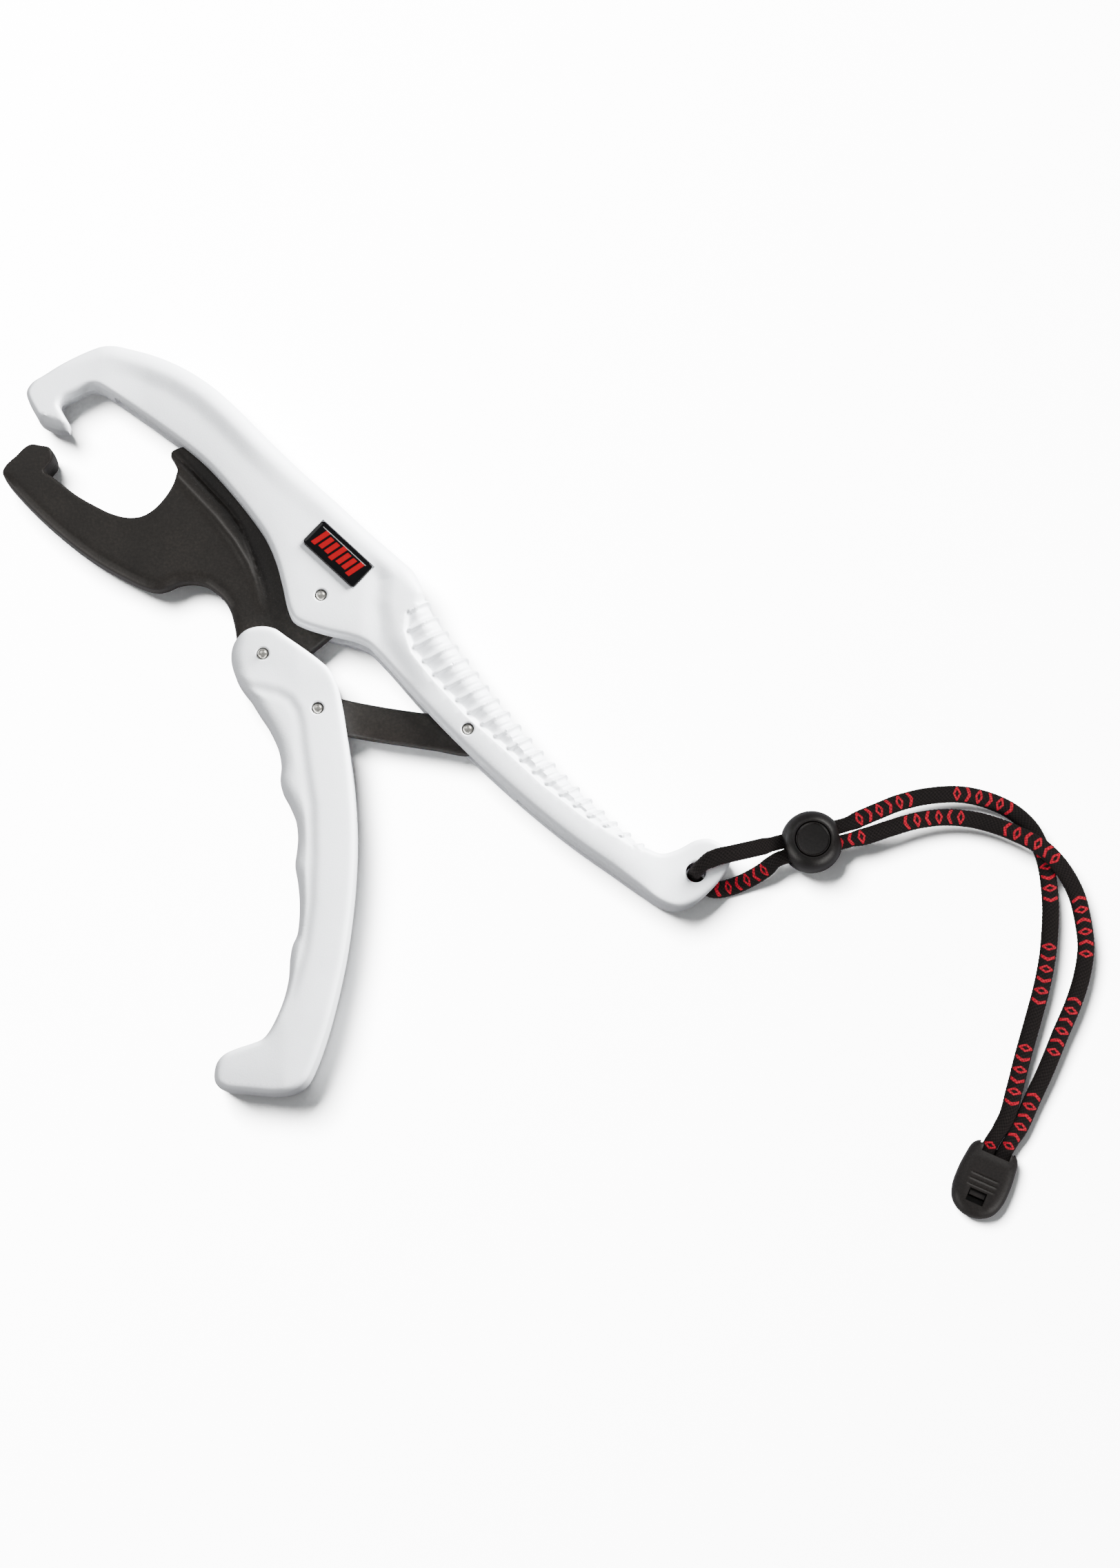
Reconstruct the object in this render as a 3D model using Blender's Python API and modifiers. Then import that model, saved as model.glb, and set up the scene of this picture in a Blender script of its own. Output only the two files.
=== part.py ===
"""Locking lip grip for landing fish: hooked upper body, lower jaw, squeeze lever,
link bar, four pivot pins, a domed badge, and a wrist lanyard with a cord lock.

The tool lies flat. +X runs from the jaws to the lanyard end, +Y to the back of the
grip, +Z up out of the flat side that carries the badge. Everything is laid out in
millimetres from the jaw pivot at mid-thickness. At the end the assembly is moved so
that the frame's origin lies on the underside cheek, below the badge.
"""
import math
from collections import namedtuple

import bmesh
import bpy
from mathutils import Matrix, Vector

MM = 0.001
WELD = 0.005 * MM     # merge distance for coincident vertices
CURVE_STEPS = 2       # points per span of a smoothed outline or path

# ---------------------------------------------------------------- sizes (mm)
HALF = 8.5            # half thickness of the white mouldings
TIP_HALF = 5.6        # half thickness of the upper hook
TAIL_HALF = 5.4       # half thickness at the lanyard eye
EDGE = 1.1            # edge break of the white mouldings
PLATE_HALF = 2.7      # half thickness of the jaw plate and the link
PLATE_EDGE = 0.4      # edge break of the link
SLOT_HALF = 3.0       # half height of the slots that take them
JAW_HALF = 6.3        # half thickness of the lower hook
JAW_EDGE = 0.9        # edge break of the lower jaw
PIN_R = 1.55          # pivot pins
PIN_RECESS = 0.15     # how far the pin ends lie below the cheeks
BORE_R = 1.62         # running bores
OPEN_BORE_R = 2.35    # -X bore of the link, loose on its pin
CUT_REACH = 12.0      # height at which through cutters end, beyond every moulding

JAW_PIVOT = (0.0, 0.0)
LEVER_PIVOT = (-15.0, -15.5)
LINK_FRONT = (-0.5, -30.0)   # -X end of the link, in the lever
LINK_REAR = (38.5, -35.5)    # +X end of the link, in the body
LANYARD_EYE = (97.5, -72.6)
EYE_R = 2.65
ORIGIN = (6.9, 10.5)         # frame origin, on the underside cheek

# ------------------------------------- outlines (mm): x, y points of closed loops
# Upper body, clockwise from the nose of the upper hook.
BODY = [
    (-78.7, 55.3), (-77.3, 58.1), (-74.2, 60.2), (-68.5, 63.9), (-62.2, 67.3),
    (-58.9, 68.5), (-55.6, 68.6), (-52.4, 67.9), (-45.2, 65.8), (-37.4, 62.3),
    (-29.6, 57.1), (-22.5, 50.6), (-14.3, 42.2), (-5.1, 33.3), (4.1, 25.0),
    (12.2, 17.4), (20.6, 10.0), (24.1, 6.7), (25.8, 3.4),
    # grip back, along the outer ends of the ribs
    (27.0, 0.0), (29.4, -4.4), (34.2, -11.5), (39.3, -18.4), (44.8, -25.7),
    (50.5, -32.7), (56.2, -39.5), (62.3, -45.9), (68.9, -52.4), (75.6, -58.6),
    (82.0, -63.9), (85.3, -66.5),
    # lanyard eye
    (88.8, -67.7), (93.2, -66.4), (97.6, -64.1), (101.2, -63.7), (104.5, -65.4),
    (106.4, -68.0), (106.2, -70.3), (104.2, -73.4), (100.6, -77.3), (96.9, -80.3),
    (92.8, -81.8), (88.8, -80.9),
    # inner edge of the grip, back to the jaw pivot and along the hook
    (82.2, -76.6), (75.0, -71.4), (67.6, -66.2), (60.2, -60.5), (49.5, -51.4),
    (35.7, -38.4), (25.8, -28.0), (15.9, -16.7), (11.9, -12.8), (7.3, -11.1),
    (1.7, -9.8), (-4.6, -7.8), (-7.2, -6.3), (-8.6, -3.6), (-10.3, 3.4),
    (-12.1, 9.7), (-14.8, 15.8), (-18.9, 21.8), (-25.1, 29.5), (-31.2, 36.1),
    (-37.6, 41.5), (-46.8, 48.3), (-52.8, 52.6), (-58.2, 56.3), (-60.3, 57.4),
    (-62.6, 57.4), (-66.4, 55.6), (-69.2, 54.0), (-70.2, 52.3), (-69.0, 49.7),
    (-67.5, 46.9), (-67.8, 45.6), (-69.3, 45.4), (-73.7, 46.9), (-75.0, 47.8),
    (-76.0, 49.5),
]
# Lower jaw: hook, throat, hidden plate round the jaw pivot, neck, outer edge.
JAW = [
    (-84.3, 33.4), (-83.4, 35.5), (-80.8, 38.0), (-78.4, 40.4), (-76.9, 41.1),
    (-74.4, 40.8), (-72.2, 40.3), (-71.3, 38.9), (-71.3, 37.0), (-72.6, 35.2),
    (-73.4, 33.9), (-71.6, 32.6), (-68.5, 30.3), (-65.0, 27.6), (-60.5, 25.0),
    (-55.8, 22.7), (-51.3, 21.6), (-47.6, 22.0), (-44.6, 23.8), (-41.7, 27.0),
    (-39.7, 30.3), (-38.7, 33.1), (-38.6, 35.2), (-39.5, 37.3), (-40.5, 39.1),
    (-40.0, 40.2), (-37.4, 41.3), (-34.9, 42.0), (-32.6, 41.2), (-28.9, 38.3),
    (-22.8, 31.6), (-16.2, 23.4), (-11.8, 17.0), (-8.3, 11.6), (-4.2, 7.7),
    (0.8, 8.3), (5.6, 6.2), (8.1, 1.9), (7.9, -2.6), (5.8, -6.4), (1.7, -10.1),
    (-3.5, -14.5), (-8.0, -18.7), (-11.4, -21.0), (-15.0, -21.9), (-18.9, -20.7),
    (-21.3, -17.6), (-22.2, -13.2), (-22.6, -8.6), (-24.3, -2.2), (-26.7, 1.1),
    (-30.6, 3.9), (-34.4, 4.7), (-37.9, 4.3), (-40.9, 3.0), (-43.7, 2.5),
    (-46.6, 3.2), (-51.0, 5.2), (-60.2, 10.4), (-67.6, 15.9), (-75.1, 22.5),
    (-79.8, 27.3), (-83.2, 31.3),
]
# Region of the lower jaw that is stepped down to plate thickness.
JAW_STEP = [
    (-37.4, 34.8), (-33.5, 30.2), (-27.2, 23.2), (-22.2, 16.6), (-18.4, 10.2),
    (-16.4, 4.2), (-17.5, -2.0), (-30.0, -4.0), (-30.0, -30.0), (20.0, -30.0),
    (20.0, 20.0), (-30.0, 60.0), (-48.0, 46.0), (-41.8, 38.4),
]
# Squeeze lever, clockwise from the +Y side of its head.
LEVER = [
    (-15.4, -8.0), (-12.0, -8.7), (-9.0, -10.8), (-3.2, -14.9), (-0.2, -17.2),
    (2.2, -19.4), (4.1, -22.8), (5.5, -28.6), (6.8, -36.3), (8.0, -44.6),
    (8.9, -53.0), (9.4, -62.0), (9.3, -71.1), (8.6, -81.1), (7.0, -93.6),
    (4.6, -105.3), (1.8, -115.8), (-0.6, -122.6), (-2.8, -126.8), (-5.8, -129.1),
    (-10.3, -129.9), (-17.3, -129.4), (-23.6, -128.6), (-25.7, -127.1),
    (-26.1, -124.8), (-25.4, -121.7), (-23.6, -119.7), (-20.6, -118.3),
    (-16.6, -117.0), (-13.9, -115.9), (-12.3, -114.2), (-10.4, -110.8),
    (-8.4, -105.6), (-7.3, -100.3), (-7.0, -95.0), (-6.4, -91.7), (-5.3, -89.1),
    (-4.8, -85.1), (-4.8, -79.8), (-5.3, -75.2), (-6.0, -71.0), (-5.6, -67.2),
    (-5.4, -63.5), (-6.0, -59.1), (-7.7, -54.9), (-9.6, -51.3), (-10.1, -48.8),
    (-9.9, -44.9), (-10.9, -40.0), (-13.1, -35.1), (-15.9, -30.8),
    (-18.6, -26.5), (-20.9, -23.6), (-22.4, -20.6), (-23.4, -17.0),
    (-23.1, -13.2), (-21.4, -10.4), (-18.9, -8.6),
]
# Link bar between lever and body, slightly bowed.
LINK = [
    (-6.0, -29.2), (-4.6, -25.6), (-1.0, -24.5), (5.3, -26.4), (14.0, -28.2),
    (22.0, -29.5), (30.0, -30.4), (38.6, -30.1), (42.8, -32.2), (44.0, -35.6),
    (42.4, -39.4), (38.2, -41.0), (30.0, -39.7), (22.0, -38.5), (14.0, -37.3),
    (6.5, -36.0), (0.4, -35.4), (-4.2, -33.9),
]
# Slots cut into the body and the lever, open towards the linkage.
BODY_SLOT = [
    (-57.2, 52.3), (-53.8, 57.2), (-47.0, 53.4), (-41.0, 50.2), (-38.5, 49.3),
    (-31.0, 47.0), (-22.0, 39.4), (-13.0, 31.0),
    (-5.0, 21.5), (2.5, 14.0), (10.5, 9.0), (16.5, 1.0), (23.5, -9.2),
    (33.0, -20.4), (42.2, -29.8), (45.4, -35.4), (47.2, -43.0), (49.2, -50.0),
    (48.0, -56.0), (28.0, -42.0), (5.0, -20.0), (-14.0, -10.0), (-24.0, 12.0),
    (-48.0, 36.0),
]
LEVER_SLOT = [
    (-30.0, -2.0), (-30.0, -18.6), (-24.0, -20.6), (-18.5, -22.9), (-12.0, -24.4),
    (-8.4, -26.6), (-7.0, -30.0), (-6.4, -34.0), (-3.0, -39.0), (2.0, -43.6),
    (5.2, -48.4), (7.2, -53.4), (14.0, -54.6), (24.0, -30.0), (8.0, -8.0),
    (-5.0, 0.0),
]

# ------------------------------------------------------------ scene and materials
for ob in list(bpy.data.objects):
    bpy.data.objects.remove(ob, do_unlink=True)

SCENE = bpy.context.scene
PIECES = bpy.data.collections.new("lip_grip")
CUTTERS = bpy.data.collections.new("cutters")
SCENE.collection.children.link(PIECES)
SCENE.collection.children.link(CUTTERS)


def material(name, color, roughness, metallic=0.0):
    mat = bpy.data.materials.new(name)
    mat.use_nodes = True
    inputs = mat.node_tree.nodes["Principled BSDF"].inputs
    inputs["Base Color"].default_value = (*color, 1.0)
    inputs["Roughness"].default_value = roughness
    inputs["Metallic"].default_value = metallic
    mat.diffuse_color = (*color, 1.0)
    return mat


WHITE_PLASTIC = material("white_plastic", color=(0.86, 0.87, 0.88), roughness=0.42)
BLACK_PLASTIC = material("black_plastic", color=(0.030, 0.026, 0.022), roughness=0.55)
PIN_STEEL = material("pin_steel", color=(0.62, 0.61, 0.58), roughness=0.28, metallic=1.0)
BADGE_BLACK = material("badge_black", color=(0.008, 0.008, 0.009), roughness=0.3)
BADGE_RESIN = material("badge_resin", color=(0.03, 0.03, 0.032), roughness=0.08)
FLOAT_FOAM = material("float_foam", color=(0.75, 0.75, 0.73), roughness=0.9)
STRIP_PLASTIC = material("strip_plastic", color=(0.80, 0.81, 0.82), roughness=0.5)
CORD_FABRIC = material("cord_fabric", color=(0.016, 0.014, 0.014), roughness=0.85)
LOCK_PLASTIC = material("lock_plastic", color=(0.022, 0.020, 0.018), roughness=0.5)
SPRING_STEEL = material("spring_steel", color=(0.55, 0.55, 0.55), roughness=0.35, metallic=1.0)
END_PLASTIC = material("end_plastic", color=(0.024, 0.021, 0.019), roughness=0.55)


# --------------------------------------------------------------- 2D geometry
def blend(a, b, knot_a, knot_b, t):
    """Value at t on the line through a at knot_a and b at knot_b."""
    return a * ((knot_b - t) / (knot_b - knot_a)) + b * ((t - knot_a) / (knot_b - knot_a))


def smooth_loop(points):
    """Closed centripetal Catmull-Rom curve through the points."""
    corners = [Vector(p) for p in points]
    curve = []
    for i in range(len(corners)):
        near = [corners[(i + k) % len(corners)] for k in (-1, 0, 1, 2)]
        knots = [0.0]
        for a, b in zip(near, near[1:]):
            knots.append(knots[-1] + max((b - a).length, 1e-6) ** 0.5)
        for k in range(CURVE_STEPS):
            t = knots[1] + (knots[2] - knots[1]) * k / CURVE_STEPS
            level = near
            for reach in (1, 2):
                level = [blend(level[j], level[j + 1], knots[j], knots[j + reach], t)
                         for j in range(len(level) - 1)]
            curve.append(blend(*level, knots[1], knots[2], t))
    return curve


def mirrored(profile):
    """Profile of (distance, height) followed by its mirror image below height 0."""
    return profile + [(d, -h) for d, h in reversed(profile)]


def turned_point(centre, angle, x, y):
    """Layout XY of a point given in a frame at centre, turned by angle."""
    cos, sin = math.cos(angle), math.sin(angle)
    return (centre[0] + x * cos - y * sin, centre[1] + x * sin + y * cos)


# ------------------------------------------------------------ object helpers
def add_object(name, mesh, coll):
    ob = bpy.data.objects.new(name, mesh)
    coll.objects.link(ob)
    if coll is CUTTERS:
        ob.hide_render = True
        ob.display_type = 'WIRE'
    return ob


def add_spline(curve, points, cyclic=False):
    """Straight-segment spline through x, y, z points in millimetres."""
    spline = curve.splines.new('POLY')
    spline.points.add(len(points) - 1)
    for target, (x, y, z) in zip(spline.points, points):
        target.co = (x * MM, y * MM, z * MM, 1.0)
    spline.use_cyclic_u = cyclic


def curve_mesh(curve):
    """Closed mesh of a curve, with its caps welded on."""
    temp = bpy.data.objects.new(curve.name + "_curve", curve)
    SCENE.collection.objects.link(temp)
    depsgraph = bpy.context.evaluated_depsgraph_get()
    mesh = bpy.data.meshes.new_from_object(temp.evaluated_get(depsgraph), depsgraph=depsgraph)
    bpy.data.objects.remove(temp, do_unlink=True)
    bm = bmesh.new()
    bm.from_mesh(mesh)
    bmesh.ops.remove_doubles(bm, verts=bm.verts, dist=WELD)
    bmesh.ops.recalc_face_normals(bm, faces=bm.faces)
    bm.to_mesh(mesh)
    bm.free()
    mesh.name = curve.name
    mesh.materials.clear()
    return mesh


def plate(name, outline, z0, z1, edge=0.0, coll=PIECES, centre=(0, 0), angle=0.0):
    """Outline, or list of outlines, extruded from z0 to z1 with broken edges."""
    curve = bpy.data.curves.new(name, 'CURVE')
    curve.dimensions = '2D'
    curve.fill_mode = 'BOTH'
    curve.extrude = ((z1 - z0) / 2 - edge) * MM
    curve.bevel_depth = edge * MM
    curve.bevel_resolution = 0
    curve.offset = -edge * MM
    for loop in outline if isinstance(outline[0], list) else [outline]:
        add_spline(curve, [(x, y, 0.0) for x, y in loop], cyclic=True)
    mesh = curve_mesh(curve)
    mesh.transform(Matrix.Translation((0, 0, (z0 + z1) / 2 * MM)))
    ob = add_object(name, mesh, coll)
    ob.location = (centre[0] * MM, centre[1] * MM, 0)
    ob.rotation_euler = (0, 0, angle)
    return ob


def standing_plate(name, profile, base, angle, span):
    """Cutter from a (distance, height) profile stood upright along a heading,
    reaching span to either side."""
    ob = plate(name, profile, -span, span, coll=CUTTERS, centre=base, angle=angle)
    ob.rotation_euler.x = math.pi / 2
    return ob


def revolve(name, profile, centre, segments=32, coll=PIECES):
    """Solid turned about a vertical axis; profile is (radius, z) from top to bottom."""
    mesh = bpy.data.meshes.new(name)
    mesh.from_pydata([(r * MM, 0, z * MM) for r, z in profile],
                     [(i, i + 1) for i in range(len(profile) - 1)], [])
    ob = add_object(name, mesh, coll)
    ob.location = (centre[0] * MM, centre[1] * MM, 0)
    turn = ob.modifiers.new("turn", 'SCREW')
    turn.axis = 'Z'
    turn.angle = 2 * math.pi
    turn.steps = turn.render_steps = segments
    turn.use_merge_vertices = True
    turn.merge_threshold = WELD
    turn.use_smooth_shade = True
    return ob


def box(name, centre, size, angle=0.0, coll=CUTTERS):
    mesh = bpy.data.meshes.new(name)
    bm = bmesh.new()
    bmesh.ops.create_cube(bm, size=1.0)
    bmesh.ops.scale(bm, verts=bm.verts, vec=tuple(s * MM for s in size))
    bm.to_mesh(mesh)
    bm.free()
    ob = add_object(name, mesh, coll)
    ob.location = tuple(c * MM for c in centre)
    ob.rotation_euler = (0, 0, angle)
    return ob


def boolean(ob, cutter, operation='DIFFERENCE'):
    mod = ob.modifiers.new(operation.lower() + "_" + cutter.name, 'BOOLEAN')
    mod.operation = operation
    mod.object = cutter
    mod.solver = 'EXACT'


def bore(ob, name, centre, radius=BORE_R, segments=28):
    """Cuts a round hole right through ob."""
    profile = mirrored([(0, CUT_REACH), (radius, CUT_REACH)])
    boolean(ob, revolve(name, profile, centre, segments, CUTTERS))


def finish(ob, mat, sharp_angle=35):
    """Gives ob its material and smooth shading with sharp edges above an angle."""
    ob.data.materials.append(mat)
    for face in ob.data.polygons:
        face.use_smooth = True
    ob.data.set_sharp_from_angle(angle=math.radians(sharp_angle))


def set_origin(ob, point):
    """Moves the origin of an unmoved object to a point, leaving its shape in place."""
    origin = Vector((point[0] * MM, point[1] * MM, 0))
    ob.data.transform(Matrix.Translation(-origin))
    ob.location = origin


# ------------------------------------------------------- float pockets (mm)
# Closed pockets for the float strips: ends of the mouth line, side of the line on
# which the pocket lies (1 left, -1 right), depth, and depth where the strip starts.
Pocket = namedtuple("Pocket", "start end side depth strip_start")
HANDLE_POCKET = Pocket((51.0, -53.0), (82.0, -76.9), side=1, depth=7.6, strip_start=0.9)
LEVER_POCKET = Pocket((9.2, -57.5), (8.9, -80.0), side=-1, depth=6.6, strip_start=0.6)
POCKET_HALF = 1.6       # half height of a pocket
POCKET_OVERCUT = 4.0    # how far the cutter reaches out of the mouth
POCKET_GAP = 0.3        # clearance round the core and the strip
CORE_START = 2.9        # depth at which the foam core starts


def pocket_box(name, pocket, near, far, gap=0.0, coll=CUTTERS):
    """Box along the mouth line between two depths, held off the pocket walls by gap."""
    (x0, y0), (x1, y1) = pocket.start, pocket.end
    length = math.hypot(x1 - x0, y1 - y0)
    angle = math.atan2(y1 - y0, x1 - x0)
    middle = ((x0 + x1) / 2, (y0 + y1) / 2)
    x, y = turned_point(middle, angle, 0.0, pocket.side * (near + far) / 2)
    size = (length - 2 * gap, far - near, 2 * (POCKET_HALF - gap))
    return box(name, (x, y, 0), size, angle, coll)


def cut_pocket(ob, name, pocket):
    boolean(ob, pocket_box(name, pocket, -POCKET_OVERCUT, pocket.depth))


def build_pocket_filling(prefix, pocket):
    """Foam core at the bottom of the pocket and the strip that covers it."""
    core = pocket_box(prefix + "_float_core", pocket, CORE_START, pocket.depth - POCKET_GAP,
                      POCKET_GAP, PIECES)
    finish(core, FLOAT_FOAM)
    strip = pocket_box(prefix + "_slot_strip", pocket, pocket.strip_start,
                       CORE_START - POCKET_GAP, POCKET_GAP, PIECES)
    finish(strip, STRIP_PLASTIC)


# ---------------------------------------------------------------- badge (mm)
BADGE_C = (4.35, 10.8)
BADGE_ANGLE = math.radians(-43)
BADGE_W, BADGE_H = 18.2, 7.9    # badge plate
BADGE_CORNER_R = 1.0
CORNER_STEPS = 3
BADGE_GAP = 0.2                 # clearance between plate and pocket wall
DOME_INSET = 0.05               # dome edge inside the plate edge
BADGE_PLATE_Z = (7.95, 8.55)
DOME_Z = (8.6, 9.3)
DOME_EDGE = 0.3
BADGE_POCKET_Z, BADGE_POCKET_T = 8.6, 1.6    # mid height and thickness of the cutter


def round_rect(width, height, radius):
    points = []
    for side_x, side_y, start in ((1, 1, 0), (-1, 1, 90), (-1, -1, 180), (1, -1, 270)):
        x = side_x * (width / 2 - radius)
        y = side_y * (height / 2 - radius)
        for k in range(CORNER_STEPS + 1):
            angle = math.radians(start + 90 * k / CORNER_STEPS)
            points.append((x + radius * math.cos(angle), y + radius * math.sin(angle)))
    return points


def cut_badge_pocket(ob):
    size = (BADGE_W + 2 * BADGE_GAP, BADGE_H + 2 * BADGE_GAP, BADGE_POCKET_T)
    boolean(ob, box("badge_pocket", (*BADGE_C, BADGE_POCKET_Z), size, BADGE_ANGLE))


def build_badge():
    for name, inset, heights, edge, mat in (
            ("badge_plate", 0.0, BADGE_PLATE_Z, 0.0, BADGE_BLACK),
            ("badge_dome", DOME_INSET, DOME_Z, DOME_EDGE, BADGE_RESIN)):
        outline = round_rect(BADGE_W - 2 * inset, BADGE_H - 2 * inset, BADGE_CORNER_R)
        finish(plate(name, outline, *heights, edge, centre=BADGE_C, angle=BADGE_ANGLE), mat)


# ------------------------------------------------------------ grip ribs (mm)
RIB_COUNT = 20
RIB_W = 1.3               # width of one grip rib
RIB_DEPTH = 0.45          # how far the band between ribs lies below the ribs
RIB_HEADING = math.radians(210)    # direction from outer to inner end
RIB_SAMPLES = 400         # steps in the search along the inner boundary
GAP_INNER_CUTBACK = 0.2   # gaps stop this far short of the inner boundary
GAP_OVERCUT = 3.0         # gaps run this far past the outer boundary
GAP_RISE = 2.0            # cutter height beyond the cheek
# Open x, y lines through the outer and the inner ends of the ribs.
RIB_OUTER = [
    (28.3, -1.2), (34.9, -11.4), (45.2, -25.6), (56.8, -39.6), (69.4, -52.5), (84.0, -65.0),
]
RIB_INNER = [
    (22.4, -4.4), (22.0, -9.0), (24.0, -15.0), (29.4, -21.9), (38.2, -31.7),
    (48.6, -41.0), (58.1, -50.0), (69.0, -58.5), (81.2, -65.9),
]


def evenly_along(line, steps):
    """The steps + 1 points that divide an open polyline into equal lengths."""
    total = sum(math.dist(a, b) for a, b in zip(line, line[1:]))
    return [Vector(point_along(line, total * i / steps)) for i in range(steps + 1)]


def point_along(line, distance):
    for (x0, y0), (x1, y1) in zip(line, line[1:]):
        length = math.hypot(x1 - x0, y1 - y0)
        if distance <= length:
            return (x0 + (x1 - x0) * distance / length, y0 + (y1 - y0) * distance / length)
        distance -= length
    return line[-1]


def rib_ends():
    """(outer, inner) end of each rib; the inner end is where a line at the ribs'
    heading meets the inner boundary."""
    heading = Vector((math.cos(RIB_HEADING), math.sin(RIB_HEADING)))
    candidates = evenly_along(RIB_INNER, RIB_SAMPLES)

    def nearest_on_heading(outer):
        ahead = [p for p in candidates if (p - outer).dot(heading) > 0]
        return min(ahead, key=lambda p: abs((p - outer).x * heading.y
                                            - (p - outer).y * heading.x))

    return [(outer, nearest_on_heading(outer))
            for outer in evenly_along(RIB_OUTER, RIB_COUNT - 1)]


def rib_gaps():
    """Outlines of the bands between neighbouring ribs."""
    ends = rib_ends()
    gaps = []
    for (outer0, inner0), (outer1, inner1) in zip(ends, ends[1:]):
        half_rib = (outer1 - outer0).normalized() * (RIB_W / 2)
        out0 = (outer0 - inner0).normalized()
        out1 = (outer1 - inner1).normalized()
        gaps.append([inner0 + half_rib + out0 * GAP_INNER_CUTBACK,
                     inner1 - half_rib + out1 * GAP_INNER_CUTBACK,
                     outer1 - half_rib + out1 * GAP_OVERCUT,
                     outer0 + half_rib + out0 * GAP_OVERCUT])
    return gaps


def cut_rib_gaps(ob):
    """Sinks the bands between the ribs on both flat sides."""
    gaps = rib_gaps()
    floor, top = HALF - RIB_DEPTH, HALF + GAP_RISE
    boolean(ob, plate("rib_gaps_top", gaps, floor, top, coll=CUTTERS))
    boolean(ob, plate("rib_gaps_bottom", gaps, -top, -floor, coll=CUTTERS))


# ---------------------------------------------------------------- upper body
FULL = HALF + 0.5     # clear of the cheeks, where the thickness is not reduced
# x, half thickness
BODY_THICKNESS = [
    (-95, TIP_HALF), (-62, TIP_HALF), (-40, 7.0), (-18, FULL), (80, FULL),
    (93, TAIL_HALF), (120, TAIL_HALF),
]


def build_upper_body():
    body = plate("upper_body", smooth_loop(BODY), -HALF, HALF, EDGE)
    thickness = standing_plate("body_thickness", mirrored(BODY_THICKNESS),
                               base=(0, 0), angle=0, span=110)
    boolean(body, thickness, 'INTERSECT')
    boolean(body, plate("body_slot", BODY_SLOT, -SLOT_HALF, SLOT_HALF, coll=CUTTERS))
    cut_pocket(body, "handle_pocket", HANDLE_POCKET)
    cut_badge_pocket(body)
    bore(body, "body_bore_jaw", JAW_PIVOT)
    bore(body, "body_bore_link", LINK_REAR)
    bore(body, "lanyard_eye", LANYARD_EYE, EYE_R, segments=24)
    cut_rib_gaps(body)
    finish(body, WHITE_PLASTIC)


# ---------------------------------------------------------------- lower jaw
JAW_AXIS = math.atan2(-0.430, 0.903)    # heading from the hook towards the pivot
JAW_AXIS_START = (-84, 40)
# distance along the jaw axis, half thickness
JAW_WEDGE = [
    (-30, JAW_HALF), (10, JAW_HALF), (50, 4.4), (66, PLATE_HALF), (130, PLATE_HALF),
]


def build_lower_jaw():
    jaw = plate("lower_jaw", smooth_loop(JAW), -JAW_HALF, JAW_HALF, JAW_EDGE)
    wedge = standing_plate("jaw_wedge", mirrored(JAW_WEDGE), JAW_AXIS_START, JAW_AXIS, span=90)
    boolean(jaw, wedge, 'INTERSECT')
    boolean(jaw, plate("jaw_step_top", JAW_STEP, PLATE_HALF, CUT_REACH, coll=CUTTERS))
    boolean(jaw, plate("jaw_step_bottom", JAW_STEP, -CUT_REACH, -PLATE_HALF, coll=CUTTERS))
    bore(jaw, "jaw_bore_body", JAW_PIVOT)
    bore(jaw, "jaw_bore_lever", LEVER_PIVOT)
    finish(jaw, BLACK_PLASTIC)


# ------------------------------------------------------ lever, link and pins
def build_lever():
    lever = plate("squeeze_lever", smooth_loop(LEVER), -HALF, HALF, EDGE)
    boolean(lever, plate("lever_slot", LEVER_SLOT, -SLOT_HALF, SLOT_HALF, coll=CUTTERS))
    cut_pocket(lever, "lever_pocket", LEVER_POCKET)
    bore(lever, "lever_bore_jaw", LEVER_PIVOT)
    bore(lever, "lever_bore_link", LINK_FRONT)
    set_origin(lever, LEVER_PIVOT)
    finish(lever, WHITE_PLASTIC)


def build_link():
    link = plate("link_bar", smooth_loop(LINK), -PLATE_HALF, PLATE_HALF, PLATE_EDGE)
    bore(link, "link_bore_front", LINK_FRONT, OPEN_BORE_R)
    bore(link, "link_bore_rear", LINK_REAR)
    set_origin(link, LINK_REAR)
    finish(link, BLACK_PLASTIC)


def build_pins():
    """Pivot pins with rounded ends."""
    top = HALF - PIN_RECESS
    profile = mirrored([(0, top), (0.75, top - 0.08), (1.25, top - 0.3), (PIN_R, top - 0.75)])
    for name, centre in (("jaw_pivot_pin", JAW_PIVOT), ("lever_pivot_pin", LEVER_PIVOT),
                         ("link_front_pin", LINK_FRONT), ("link_rear_pin", LINK_REAR)):
        finish(revolve(name, profile, centre, segments=20), PIN_STEEL)


# --------------------------------------------------------- lanyard cord (mm)
LOCK_C = (127.9, -63.9)         # centre of the cord lock
LOCK_ANGLE = math.radians(15)   # direction of the cords through the lock
CORD_LOCK_Z = -0.5              # height of the cords inside the lock
IN_LOCK = 2.1                   # offset of each strand from the lock's middle line
LOCK_STATIONS = (-9.6, -3.5, 3.0, 10.2)    # path points along the lock passage
LOCK_ZONE = (12.0, 6.0)         # half length and half width of the narrowed zone

END_C = (171.4, -151.5)         # middle of the cord end
END_ANGLE = math.radians(-24)
END_Z = -4.9

CORD_SIDES = 8
# width and thickness of the flat woven cord
CORD_SECTION = (4.4, 2.5)
LOCK_SECTION = (3.8, 2.5)
END_SECTION = (3.9, 2.5)
EYE_SECTION = (3.6, 2.6)
END_SPANS = 3                   # path spans at each end with the end section
EYE_ZONE_R, EYE_ZONE_Z = 4.0, 7.4    # radius and half height of the eye section's zone
STEEP = 0.35                    # below this horizontal run the flat's side is carried over
FLOOR_CORD_Z = -HALF + CORD_SECTION[1] / 2


def lock_point(x, y):
    """Layout XY of a point given along and across the cord lock's passage."""
    return turned_point(LOCK_C, LOCK_ANGLE, x, y)


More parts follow.
